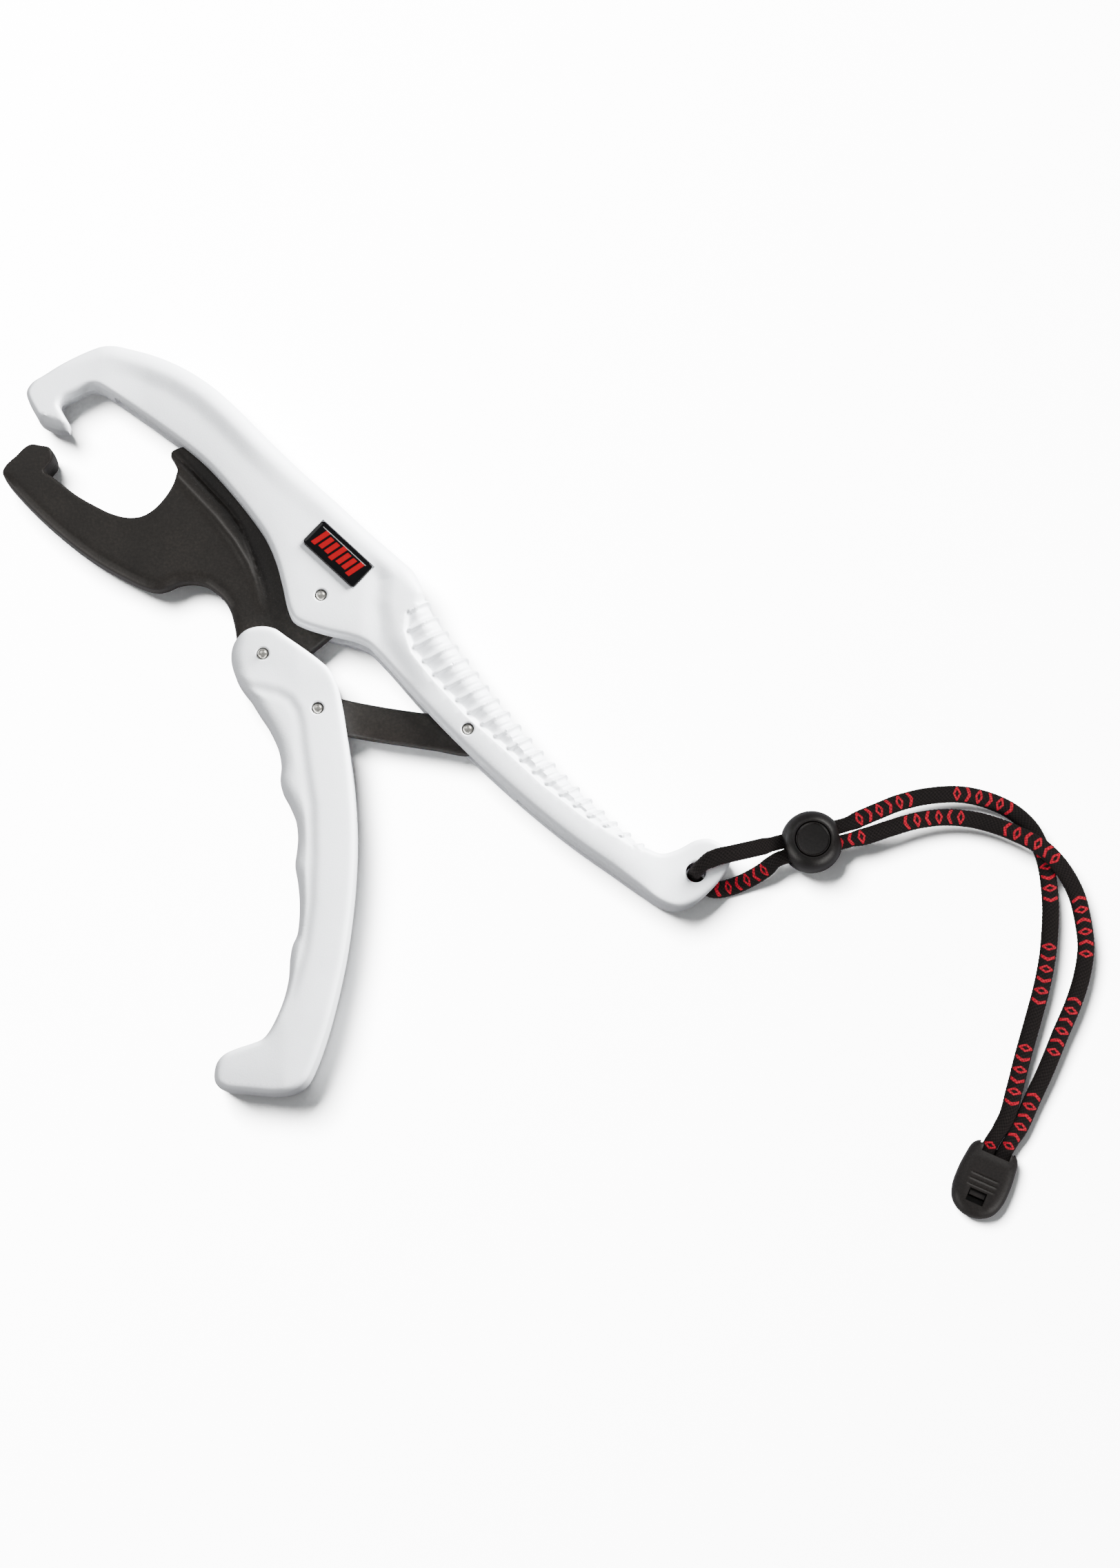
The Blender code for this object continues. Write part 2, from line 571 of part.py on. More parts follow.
def end_point(x, y):
    """Layout XY of a point in the cord end's own frame, +y towards its mouth."""
    return turned_point(END_C, END_ANGLE, x, y)


# Cord path in x, y, z. The first strand leaves the cord end and runs to the lock.
FIRST_END = [(*end_point(-1.95, 2.2), END_Z), (*end_point(-1.95, 6.0), END_Z),
             (*end_point(-1.9, 9.8), END_Z)]
FIRST_STRAND = [
    (177.7, -135.4, -4.6), (179.9, -127.9, -4.0), (182.3, -119.0, -3.5),
    (184.8, -110.5, -3.1), (187.2, -102.1, -2.8), (188.9, -94.1, -2.6),
    (189.8, -86.0, -2.6), (190.0, -78.8, -2.6), (189.3, -71.0, -2.6),
    (187.6, -64.5, -2.6), (185.0, -59.6, -2.6), (180.3, -55.4, -2.5),
    (173.9, -52.5, -2.3), (166.6, -51.1, -2.0), (158.5, -51.6, -1.8),
    (151.3, -53.3, -1.5), (146.0, -55.4, -1.2), (141.4, -57.4, -0.8),
]
FIRST_IN_LOCK = [(*lock_point(x, IN_LOCK), CORD_LOCK_Z) for x in reversed(LOCK_STATIONS)]
# Over the top to the eye, down through it, and back underneath.
EYE_TURN = [
    (113.9, -65.7, 1.9), (110.2, -66.9, 4.6), (106.6, -68.0, 6.8), (103.0, -68.9, 7.5),
    (99.8, -70.4, 7.3), (97.8, -72.2, 5.8), (97.2, -72.9, 2.6), (97.2, -72.8, -2.4),
    (97.7, -73.1, -5.6), (99.9, -74.6, -7.2), (103.4, -75.6, FLOOR_CORD_Z),
    (107.6, -74.7, FLOOR_CORD_Z), (111.6, -73.1, -5.9), (115.6, -71.0, -3.2),
]
SECOND_IN_LOCK = [(*lock_point(x, -IN_LOCK), CORD_LOCK_Z) for x in LOCK_STATIONS]
# Back to the cord end, crossing above the first strand at the far bend.
SECOND_STRAND = [
    (142.8, -62.1, -0.8), (148.5, -60.2, -1.2), (155.6, -58.1, -1.6),
    (162.9, -57.2, -1.9), (170.0, -57.8, -1.8), (176.2, -59.6, -0.9),
    (181.5, -62.0, 0.25), (186.5, -64.6, 0.45), (190.5, -67.8, -0.35),
    (194.1, -72.1, -1.6), (196.9, -77.7, -2.3), (198.4, -84.3, -2.6),
    (199.0, -91.4, -2.7), (197.8, -98.7, -2.8), (195.4, -106.0, -3.0),
    (191.8, -114.1, -3.3), (188.1, -122.9, -3.8), (184.3, -130.9, -4.3),
    (181.4, -137.2, -4.7),
]
SECOND_END = [(*end_point(2.3, 9.8), END_Z), (*end_point(2.25, 6.0), END_Z),
              (*end_point(2.25, 2.2), END_Z)]
CORD_PATH = (FIRST_END + FIRST_STRAND + FIRST_IN_LOCK + EYE_TURN
             + SECOND_IN_LOCK + SECOND_STRAND + SECOND_END)


def smooth_path(points):
    """Open uniform Catmull-Rom curve through the points."""
    knots = [Vector(p) for p in points]
    padded = [knots[0] * 2 - knots[1], *knots, knots[-1] * 2 - knots[-2]]
    curve = []
    for before, start, end, after in zip(padded, padded[1:], padded[2:], padded[3:]):
        for k in range(CURVE_STEPS):
            t = k / CURVE_STEPS
            curve.append(0.5 * ((2 * start) + (end - before) * t
                                + (2 * before - 5 * start + 4 * end - after) * t * t
                                + (3 * start - before - 3 * end + after) * t ** 3))
    curve.append(knots[-1])
    return curve


def in_lock(point):
    cos, sin = math.cos(LOCK_ANGLE), math.sin(LOCK_ANGLE)
    x, y = point.x - LOCK_C[0], point.y - LOCK_C[1]
    return abs(x * cos + y * sin) < LOCK_ZONE[0] and abs(-x * sin + y * cos) < LOCK_ZONE[1]


def cord_section(path, i):
    """Width and thickness of the cord at path point i."""
    point = path[i]
    if (point.xy - Vector(LANYARD_EYE)).length < EYE_ZONE_R and abs(point.z) < EYE_ZONE_Z:
        return EYE_SECTION
    end_steps = END_SPANS * CURVE_STEPS
    if i < end_steps or i > len(path) - end_steps - 1:
        return END_SECTION
    return LOCK_SECTION if in_lock(point) else CORD_SECTION


def build_cord():
    """Flat-oval cord lofted along its path."""
    path = smooth_path(CORD_PATH)
    bm = bmesh.new()
    rings = []
    last_side = None
    for i, point in enumerate(path):
        tangent = (path[min(i + 1, len(path) - 1)] - path[max(i - 1, 0)]).normalized()
        side = tangent.cross(Vector((0, 0, 1)))
        if last_side is not None and side.length <= STEEP:
            side = last_side - tangent * last_side.dot(tangent)
        side.normalize()
        # keep the section from flipping over
        if last_side is not None and side.dot(last_side) < 0:
            side = -side
        last_side = side
        up = side.cross(tangent).normalized()
        width, thickness = cord_section(path, i)
        ring = []
        for k in range(CORD_SIDES):
            angle = 2 * math.pi * (k + 0.5) / CORD_SIDES
            corner = (point + side * (math.cos(angle) * width / 2)
                      + up * (math.sin(angle) * thickness / 2))
            ring.append(bm.verts.new(corner * MM))
        rings.append(ring)
    for ring, following in zip(rings, rings[1:]):
        for k in range(CORD_SIDES):
            after = (k + 1) % CORD_SIDES
            bm.faces.new((ring[k], ring[after], following[after], following[k]))
    bm.faces.new(list(reversed(rings[0])))
    bm.faces.new(rings[-1])
    bmesh.ops.recalc_face_normals(bm, faces=bm.faces)
    mesh = bpy.data.meshes.new("lanyard_cord")
    bm.to_mesh(mesh)
    bm.free()
    cord = add_object("lanyard_cord", mesh, PIECES)
    set_origin(cord, LANYARD_EYE)
    finish(cord, CORD_FABRIC, sharp_angle=60)


# ------------------------------------------------------------ cord lock (mm)
# radius, z
BARREL_PROFILE = [
    (0, 5.2), (5.0, 5.2), (5.6, 5.1), (6.9, 3.9), (7.75, 2.0), (8.1, -0.4),
    (7.85, -3.2), (6.9, -5.8), (5.3, -7.7), (4.2, -HALF), (0, -HALF),
]
LOCK_BORE_PROFILE = [
    (0, 8.0), (4.75, 8.0), (4.75, 3.9), (5.7, 3.7), (5.7, -5.0), (4.9, -6.6),
    (4.2, -7.4), (0, -7.4),
]
BUTTON_PROFILE = [
    (0, 5.5), (4.0, 5.45), (4.45, 5.1), (4.45, 3.7), (5.4, 3.4), (5.4, -3.3), (0, -3.3),
]
BARREL_PASSAGE = (20.0, 8.8, 3.8)
BUTTON_PASSAGE = (20.0, 8.6, 4.9)
BUTTON_PASSAGE_Z = 0.35
LOCK_END_BOX = (10.0, 22.0, 20.0)
LOCK_END_OFFSET = 12.1      # centre of each end cutter from the lock's centre
LOCK_END_Z = -1.5

SPRING_R = 3.0
SPRING_WIRE_R = 0.28
SPRING_BOTTOM = -7.05       # wire centre at the lower end
SPRING_RISE = 3.35
SPRING_TURNS, SPRING_STEPS = 3.5, 14    # turns, and points per turn


def build_lock_barrel():
    barrel = revolve("cord_lock_barrel", BARREL_PROFILE, LOCK_C)
    boolean(barrel, revolve("lock_bore", LOCK_BORE_PROFILE, LOCK_C, coll=CUTTERS))
    boolean(barrel, box("lock_passage", (*LOCK_C, CORD_LOCK_Z), BARREL_PASSAGE, LOCK_ANGLE))
    # flat ends where the cords go in
    for k, x in enumerate((-LOCK_END_OFFSET, LOCK_END_OFFSET)):
        boolean(barrel, box("lock_end_%d" % k, (*lock_point(x, 0.0), LOCK_END_Z),
                            LOCK_END_BOX, LOCK_ANGLE))
    finish(barrel, LOCK_PLASTIC)


def build_lock_button():
    button = revolve("cord_lock_button", BUTTON_PROFILE, LOCK_C)
    boolean(button, box("button_passage", (*LOCK_C, BUTTON_PASSAGE_Z), BUTTON_PASSAGE,
                        LOCK_ANGLE))
    finish(button, LOCK_PLASTIC)


def build_lock_spring():
    """Coil spring under the button."""
    curve = bpy.data.curves.new("cord_lock_spring", 'CURVE')
    curve.dimensions = '3D'
    curve.bevel_depth = SPRING_WIRE_R * MM
    curve.bevel_resolution = 1
    curve.use_fill_caps = True
    count = int(SPRING_TURNS * SPRING_STEPS)
    helix = []
    for i in range(count + 1):
        angle = 2 * math.pi * i / SPRING_STEPS
        helix.append((SPRING_R * math.cos(angle), SPRING_R * math.sin(angle),
                      SPRING_BOTTOM + SPRING_RISE * i / count))
    add_spline(curve, helix)
    spring = add_object("cord_lock_spring", curve_mesh(curve), PIECES)
    spring.location = (LOCK_C[0] * MM, LOCK_C[1] * MM, 0)
    finish(spring, SPRING_STEEL, sharp_angle=60)


# ------------------------------------------------------------- cord end (mm)
# Own frame: +y towards the mouth, origin at the middle of the cover.
COVER_HALF = 3.5
COVER_EDGE = 1.2
COVER = [
    (-4.7, 9.3), (-2.0, 9.4), (2.0, 9.4), (4.7, 9.3), (6.1, 8.0), (6.8, 4.5), (7.1, 0.0),
    (6.8, -4.0), (5.5, -7.2), (3.0, -9.1), (0.0, -9.7), (-3.0, -9.1), (-5.5, -7.2),
    (-6.8, -4.0), (-7.1, 0.0), (-6.8, 4.5), (-6.1, 8.0),
]
# name, centre with z from END_Z, size
COVER_CUTS = [
    ("cover_cavity", (0.15, 3.2, 0.0), (9.4, 16.4, 4.2)),
    ("cover_window", (-0.3, -4.7, 3.0), (4.7, 3.4, 4.0)),
    ("cover_notch", (0.15, 9.4, 2.6), (7.6, 5.0, 3.2)),
]
INSERT = ("cord_end_insert", (0.15, -1.7, 0.0), (8.8, 6.0, 3.6))
TOOTH = ("insert_tooth", (-0.3, -4.1, 1.9), (4.1, 1.1, 1.6))


def end_box(name, centre, size, coll=CUTTERS):
    x, y, z = centre
    return box(name, (*end_point(x, y), END_Z + z), size, END_ANGLE, coll)


def build_cord_end():
    """Hollow cover, and the insert whose tooth stands up at the cover's window."""
    cover = plate("cord_end_cover", smooth_loop(COVER), END_Z - COVER_HALF,
                  END_Z + COVER_HALF, COVER_EDGE, centre=END_C, angle=END_ANGLE)
    for cut in COVER_CUTS:
        boolean(cover, end_box(*cut))
    finish(cover, END_PLASTIC)
    insert = end_box(*INSERT, PIECES)
    boolean(insert, end_box(*TOOTH), 'UNION')
    finish(insert, END_PLASTIC)


# ------------------------------------------------------------------ assembly
def move_to_frame():
    """Puts the frame's origin on the underside cheek, below the badge."""
    shift = Vector((-ORIGIN[0], -ORIGIN[1], HALF)) * MM
    for ob in list(PIECES.objects) + list(CUTTERS.objects):
        ob.location += shift


build_upper_body()
build_lower_jaw()
build_lever()
build_link()
build_pins()
build_badge()
build_pocket_filling("handle", HANDLE_POCKET)
build_pocket_filling("lever", LEVER_POCKET)
build_cord()
build_lock_barrel()
build_lock_button()
build_lock_spring()
build_cord_end()
move_to_frame()
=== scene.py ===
"""Lip grip: upper body with ribbed handle, jaw, squeeze lever, link, badge, corded lanyard.

The grip lies on its side. Its thickness runs along z, the mouth opens to the left (-x), the
handle runs to lower right (+x, -y), the lever hangs down (-y) and the lanyard lies to the right.
Sizes are in millimetres from the jaw pivot at mid-thickness; new_object moves them to the row
frame, in metres. Heights of moulded parts are half thicknesses: both faces are alike.
"""
import math

import bpy
import bmesh
import numpy as np
from mathutils import Matrix, Vector, geometry


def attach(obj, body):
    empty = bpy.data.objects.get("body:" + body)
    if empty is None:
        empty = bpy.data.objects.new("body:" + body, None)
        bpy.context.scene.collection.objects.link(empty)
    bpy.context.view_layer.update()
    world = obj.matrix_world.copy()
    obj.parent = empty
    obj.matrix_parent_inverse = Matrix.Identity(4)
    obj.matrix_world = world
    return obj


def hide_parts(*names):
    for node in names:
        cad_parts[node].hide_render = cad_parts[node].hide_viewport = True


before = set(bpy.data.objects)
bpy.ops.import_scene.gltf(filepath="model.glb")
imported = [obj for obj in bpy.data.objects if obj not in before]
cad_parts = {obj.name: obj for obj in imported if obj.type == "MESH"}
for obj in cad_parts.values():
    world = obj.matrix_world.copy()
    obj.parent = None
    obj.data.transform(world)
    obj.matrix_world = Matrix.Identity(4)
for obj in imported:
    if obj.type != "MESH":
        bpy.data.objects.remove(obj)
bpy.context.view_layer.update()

MM = 0.001
FACE = 8.5                # half thickness of body and lever
PLATE = 2.7               # half thickness of link and thin part of jaw
SLOT = 3.0                # half thickness of the slots they move in
OFFSET = np.array([-6.9, -10.5, FACE])

JAW_PIVOT = (0.0, 0.0)
LEVER_PIVOT = (-15.0, -15.5)
LINK_FRONT = (-0.5, -30.0)
LINK_REAR = (38.5, -35.5)
LANYARD_EYE = (97.5, -72.6)
PIN_BORE = 1.62
EYE_BORE = 2.65
LOCK_C = (127.9, -63.9)
LOCK_DIR = math.radians(15)
CORD_LOCK_Z = -0.5
BADGE_C = (4.35, 10.8)
BADGE_ANGLE = math.radians(-43)
END_C = (171.4, -151.5)
END_ANGLE = math.radians(-24)
END_Z = -4.9
RIB_COUNT = 20

# ------------------------------------------------------------------ outlines
# All outlines and lines are (x, y).
# Body, clockwise: upper edge of the arm, upper right edge of the handle, then the rest.
ARM_TOP = [
    (-78.7, 55.3), (-77.3, 58.1), (-74.2, 60.2), (-68.5, 63.9), (-62.2, 67.3), (-58.9, 68.5),
    (-55.6, 68.6), (-52.4, 67.9), (-45.2, 65.8), (-37.4, 62.3), (-29.6, 57.1), (-22.5, 50.6),
    (-14.3, 42.2), (-5.1, 33.3), (4.1, 25.0), (12.2, 17.4), (20.6, 10.0), (24.1, 6.7), (25.8, 3.4),
]
HANDLE_TOP = [
    (27.0, 0.0), (29.4, -4.4), (34.2, -11.5), (39.3, -18.4), (44.8, -25.7), (50.5, -32.7),
    (56.2, -39.5), (62.3, -45.9), (68.9, -52.4), (75.6, -58.6), (82.0, -63.9), (85.3, -66.5),
]
BODY_REST = [
    (88.8, -67.7), (93.2, -66.4), (97.6, -64.1), (101.2, -63.7), (104.5, -65.4), (106.4, -68.0),
    (106.2, -70.3), (104.2, -73.4), (100.6, -77.3), (96.9, -80.3), (92.8, -81.8), (88.8, -80.9),
    (82.2, -76.6), (75.0, -71.4), (67.6, -66.2), (60.2, -60.5), (49.5, -51.4), (35.7, -38.4),
    (25.8, -28.0), (15.9, -16.7), (11.9, -12.8), (7.3, -11.1), (1.7, -9.8), (-4.6, -7.8),
    (-7.2, -6.3), (-8.6, -3.6), (-10.3, 3.4), (-12.1, 9.7), (-14.8, 15.8), (-18.9, 21.8),
    (-25.1, 29.5), (-31.2, 36.1), (-37.6, 41.5), (-46.8, 48.3), (-52.8, 52.6), (-58.2, 56.3),
    (-60.3, 57.4), (-62.6, 57.4), (-66.4, 55.6), (-69.2, 54.0), (-70.2, 52.3), (-69.0, 49.7),
    (-67.5, 46.9), (-67.8, 45.6), (-69.3, 45.4), (-73.7, 46.9), (-75.0, 47.8), (-76.0, 49.5),
]
HANDLE_LOWER = BODY_REST[12:20]
HOOK_END = [(-74.3, 47.3), (-69.3, 45.4), (-67.8, 45.6)]
ARM_BACK = ARM_TOP[3:]
ARM_RIDGE = ARM_TOP[3:-2] + [(23.2, 5.5), (22.4, -1.0), (24.0, -9.0), (30.0, -18.0)]
JAW = [
    (-84.3, 33.4), (-83.4, 35.5), (-80.8, 38.0), (-78.4, 40.4), (-76.9, 41.1), (-74.4, 40.8),
    (-72.2, 40.3), (-71.3, 38.9), (-71.3, 37.0), (-72.6, 35.2), (-73.4, 33.9), (-71.6, 32.6),
    (-68.5, 30.3), (-65.0, 27.6), (-60.5, 25.0), (-55.8, 22.7), (-51.3, 21.6), (-47.6, 22.0),
    (-44.6, 23.8), (-41.7, 27.0), (-39.7, 30.3), (-38.7, 33.1), (-38.6, 35.2), (-39.5, 37.3),
    (-40.5, 39.1), (-40.0, 40.2), (-37.4, 41.3), (-34.9, 42.0), (-32.6, 41.2), (-28.9, 38.3),
    (-22.8, 31.6), (-16.2, 23.4), (-11.8, 17.0), (-8.3, 11.6), (-4.2, 7.7), (0.8, 8.3),
    (5.6, 6.2), (8.1, 1.9), (7.9, -2.6), (5.8, -6.4), (1.7, -10.1), (-3.5, -14.5),
    (-8.0, -18.7), (-11.4, -21.0), (-15.0, -21.9), (-18.9, -20.7), (-21.3, -17.6),
    (-22.2, -13.2), (-22.6, -8.6), (-24.3, -2.2), (-26.7, 1.1), (-30.6, 3.9), (-34.4, 4.7),
    (-37.9, 4.3), (-40.9, 3.0), (-43.7, 2.5), (-46.6, 3.2), (-51.0, 5.2), (-60.2, 10.4),
    (-67.6, 15.9), (-75.1, 22.5), (-79.8, 27.3), (-83.2, 31.3),
]
JAW_BAND = JAW[48:]       # lower edge, from the thin part to the tip
JAW_VALLEY = [
    (-40.5, 37.2), (-37.4, 33.9), (-33.4, 29.6), (-27.1, 22.8), (-22.1, 16.3),
    (-18.5, 10.3), (-16.6, 5.5), (-15.0, -1.0),
]
LEVER = [
    (-15.4, -8.0), (-12.0, -8.7), (-9.0, -10.8), (-3.2, -14.9), (-0.2, -17.2), (2.2, -19.4),
    (4.1, -22.8), (5.5, -28.6), (6.8, -36.3), (8.0, -44.6), (8.9, -53.0), (9.4, -62.0),
    (9.3, -71.1), (8.6, -81.1), (7.0, -93.6), (4.6, -105.3), (1.8, -115.8), (-0.6, -122.6),
    (-2.8, -126.8), (-5.8, -129.1), (-10.3, -129.9), (-17.3, -129.4), (-23.6, -128.6),
    (-25.7, -127.1), (-26.1, -124.8), (-25.4, -121.7), (-23.6, -119.7), (-20.6, -118.3),
    (-16.6, -117.0), (-13.9, -115.9), (-12.3, -114.2), (-10.4, -110.8), (-8.4, -105.6),
    (-7.3, -100.3), (-7.0, -95.0), (-6.4, -91.7), (-5.3, -89.1), (-4.8, -85.1), (-4.8, -79.8),
    (-5.3, -75.2), (-6.0, -71.0), (-5.6, -67.2), (-5.4, -63.5), (-6.0, -59.1), (-7.7, -54.9),
    (-9.6, -51.3), (-10.1, -48.8), (-9.9, -44.9), (-10.9, -40.0), (-13.1, -35.1),
    (-15.9, -30.8), (-18.6, -26.5), (-20.9, -23.6), (-22.4, -20.6), (-23.4, -17.0),
    (-23.1, -13.2), (-21.4, -10.4), (-18.9, -8.6),
]
LEVER_CREASE = [
    (-23.5, -22.6), (-19.5, -23.9), (-15.2, -24.5), (-10.8, -25.6), (-7.6, -27.4), (-5.5, -30.6),
    (-4.5, -34.5), (-3.9, -39.6), (-2.6, -48.4), (-1.4, -55.5), (-1.0, -68.0), (-1.4, -80.5),
    (-2.8, -93.0), (-6.2, -105.5), (-9.5, -112.5),
]
LINK = [
    (-6.0, -29.2), (-4.6, -25.6), (-1.0, -24.5), (5.3, -26.4), (14.0, -28.2), (22.0, -29.5),
    (30.0, -30.4), (38.6, -30.1), (42.8, -32.2), (44.0, -35.6), (42.4, -39.4), (38.2, -41.0),
    (30.0, -39.7), (22.0, -38.5), (14.0, -37.3), (6.5, -36.0), (0.4, -35.4), (-4.2, -33.9),
]
LINK_MID = [(-8.0, -29.0), (-0.5, -30.4), (14.0, -32.8), (24.0, -34.6), (32.0, -37.4),
            (44.0, -42.0)]
BODY_SLOT = [
    (-57.2, 52.3), (-53.8, 57.2), (-47.0, 53.4), (-41.0, 50.2), (-38.5, 49.3), (-31.0, 47.0),
    (-22.0, 39.4), (-13.0, 31.0), (-5.0, 21.5), (2.5, 14.0), (10.5, 9.0), (16.5, 1.0),
    (23.5, -9.2), (33.0, -20.4), (42.2, -29.8), (45.4, -35.4), (47.2, -43.0), (49.2, -50.0),
    (48.0, -56.0), (28.0, -42.0), (5.0, -20.0), (-14.0, -10.0), (-24.0, 12.0), (-48.0, 36.0),
]
LEVER_SLOT = [
    (-30.0, -2.0), (-30.0, -18.6), (-24.0, -20.6), (-18.5, -22.9), (-12.0, -24.4), (-8.4, -26.6),
    (-7.0, -30.0), (-6.4, -34.0), (-3.0, -39.0), (2.0, -43.6), (5.2, -48.4), (7.2, -53.4),
    (14.0, -54.6), (24.0, -30.0), (8.0, -8.0), (-5.0, 0.0),
]
# Inner ends of the ribs, and the line their outer ends are spaced along.
RIB_INNER = [
    (22.4, -4.4), (22.0, -9.0), (24.0, -15.0), (29.4, -21.9), (38.2, -31.7),
    (48.6, -41.0), (58.1, -50.0), (69.0, -58.5), (81.2, -65.9),
]
RIB_OUTER = [(28.3, -1.2), (34.9, -11.4), (45.2, -25.6), (56.8, -39.6), (69.4, -52.5),
             (84.0, -65.0)]
# Edge pockets: the ends of the mouth, and the side it deepens to (1 is left of the line).
HANDLE_POCKET = ((51.0, -53.0), (82.0, -76.9), 1)
LEVER_POCKET = ((9.2, -57.5), (8.9, -80.0), -1)
# Cord end cover, about END_C.
COVER = [
    (-4.7, 9.3), (-2.0, 9.4), (2.0, 9.4), (4.7, 9.3), (6.1, 8.0), (6.8, 4.5), (7.1, 0.0),
    (6.8, -4.0), (5.5, -7.2), (3.0, -9.1), (0.0, -9.7), (-3.0, -9.1), (-5.5, -7.2),
    (-6.8, -4.0), (-7.1, 0.0), (-6.8, 4.5), (-6.1, 8.0),
]


# ---------------------------------------------------------------- small maths
def rise(x, start, end):
    """Smooth step: 0 at start, 1 at end."""
    share = np.clip((np.asarray(x, float) - start) / (end - start), 0, 1)
    return share * share * (3 - 2 * share)


def bell(x, spread):
    return np.exp(-(np.asarray(x, float) / spread) ** 2)


def near(distance, reach):
    """1 at distance 0, falling straight to 0 at reach."""
    return np.clip(1 - distance / reach, 0, 1)


def rim(edge, width, depth):
    """Quarter-round drop of the face towards the edge."""
    share = near(edge, width)
    return depth * (1 - np.sqrt(np.maximum(1 - share * share, 0)))


def turn(x, y, angle, centre=(0.0, 0.0)):
    """(x, y) turned by angle, then moved to centre."""
    cos, sin = math.cos(angle), math.sin(angle)
    return centre[0] + x * cos - y * sin, centre[1] + x * sin + y * cos


def radius_from(points, centre):
    return np.hypot(points[:, 0] - centre[0], points[:, 1] - centre[1])


def bore_easing(points, centres, radius=1.6, reach=0.35, depth=0.22):
    """Drop of the face around the mouths of the bores."""
    return sum(depth * near(radius_from(points, c) - radius, reach) ** 2 for c in centres)


def centripetal_span(before, start, end, after, count):
    """count points of a centripetal Catmull-Rom span."""
    t1 = max(np.linalg.norm(start - before), 1e-6) ** 0.5
    t2 = t1 + max(np.linalg.norm(end - start), 1e-6) ** 0.5
    t3 = t2 + max(np.linalg.norm(after - end), 1e-6) ** 0.5
    out = []
    for k in range(count):
        t = t1 + (t2 - t1) * k / count
        a1 = before * ((t1 - t) / t1) + start * (t / t1)
        a2 = start * ((t2 - t) / (t2 - t1)) + end * ((t - t1) / (t2 - t1))
        a3 = end * ((t3 - t) / (t3 - t2)) + after * ((t - t2) / (t3 - t2))
        b1 = a1 * ((t2 - t) / t2) + a2 * (t / t2)
        b2 = a2 * ((t3 - t) / (t3 - t1)) + a3 * ((t - t1) / (t3 - t1))
        out.append(b1 * ((t2 - t) / (t2 - t1)) + b2 * ((t - t1) / (t2 - t1)))
    return out


def smooth_loop(loop, step):
    """Closed curve through loop with points about step apart."""
    knots = np.asarray(loop, float)
    total = len(knots)
    out = []
    for i in range(total):
        start, end = knots[i], knots[(i + 1) % total]
        count = max(2, int(round(np.linalg.norm(end - start) / step)))
        out += centripetal_span(knots[i - 1], start, end, knots[(i + 2) % total], count)
    return np.array(out)


def spline(knots, count):
    """Uniform Catmull-Rom curve from the second knot to the last but one."""
    out = []
    for p0, p1, p2, p3 in zip(knots, knots[1:], knots[2:], knots[3:]):
        for k in range(count):
            t = k / count
            out.append(0.5 * (2 * p1 + (p2 - p0) * t + (2 * p0 - 5 * p1 + 4 * p2 - p3) * t * t
                              + (3 * p1 - p0 - 3 * p2 + p3) * t ** 3))
    return out + [knots[-2]]


def resample(points, run, wanted):
    """Points of a line at the wanted lengths, run being its length at each point."""
    return np.column_stack([np.interp(wanted, run, column) for column in points.T])


BLOCK = 3000              # points measured at a time, to bound memory


def segment_distances(points, starts, ends):
    """Per block of points: (rows, the points, distances to every segment)."""
    along = ends - starts
    length_sq = np.maximum((along * along).sum(1), 1e-12)
    for i in range(0, len(points), BLOCK):
        block = points[i:i + BLOCK, None, :]
        share = np.clip(((block - starts) * along).sum(2) / length_sq, 0, 1)
        gap = block - (starts + share[..., None] * along)
        yield slice(i, i + BLOCK), block[:, 0, :], np.sqrt((gap * gap).sum(2))


def dist_to(points, line, closed=False):
    """Distance from points to a polyline."""
    line = np.asarray(line, float)
    starts, ends = (line, np.roll(line, -1, 0)) if closed else (line[:-1], line[1:])
    out = np.empty(len(points))
    for rows, _, distance in segment_distances(points, starts, ends):
        out[rows] = distance.min(1)
    return out


def side_dist(points, line):
    """Signed distance to an open polyline, positive on its left."""
    line = np.asarray(line, float)
    starts, ends = line[:-1], line[1:]
    out = np.empty(len(points))
    for rows, block, distance in segment_distances(points, starts, ends):
        k = distance.argmin(1)
        along = (ends - starts)[k]
        offset = block - starts[k]
        cross = along[:, 0] * offset[:, 1] - along[:, 1] * offset[:, 0]
        out[rows] = distance[np.arange(len(k)), k] * np.sign(cross)
    return out


def inside(points, loop):
    starts = np.asarray(loop, float)
    ends = np.roll(starts, -1, 0)
    run, height = (ends - starts).T
    height = np.where(np.abs(height) < 1e-12, 1e-12, height)
    out = np.zeros(len(points), bool)
    for i in range(0, len(points), BLOCK):
        x, y = points[i:i + BLOCK, 0, None], points[i:i + BLOCK, 1, None]
        spans = (starts[:, 1] > y) != (ends[:, 1] > y)
        crossing = run * (y - starts[:, 1]) / height + starts[:, 0]
        out[i:i + BLOCK] = ((spans & (x < crossing)).sum(1) % 2) == 1
    return out


def circle_points(centre, radii, count=36):
    """Rings of points about centre, every other ring turned by half a step."""
    out = []
    for j, radius in enumerate(radii):
        for k in range(count):
            angle = 2 * math.pi * (k + 0.5 * (j % 2)) / count
            out.append((centre[0] + radius * math.cos(angle),
                        centre[1] + radius * math.sin(angle)))
    return out


def strip_points(line, first, step, offsets):
    """Points every step along each segment, at the offsets to its right."""
    line = np.array(line)
    out = []
    for (x, y), (run_x, run_y) in zip(line[:-1], np.diff(line, axis=0)):
        length = math.hypot(run_x, run_y)
        for k in np.arange(first, length, step):
            out += [(x + (run_x * k + run_y * s) / length, y + (run_y * k - run_x * s) / length)
                    for s in offsets]
    return out


# ------------------------------------------------------------- mesh builders
RINGS = (0.05, 0.16, 0.32, 0.52, 0.78, 1.1, 1.5, 2.0, 2.6, 3.3, 4.1)
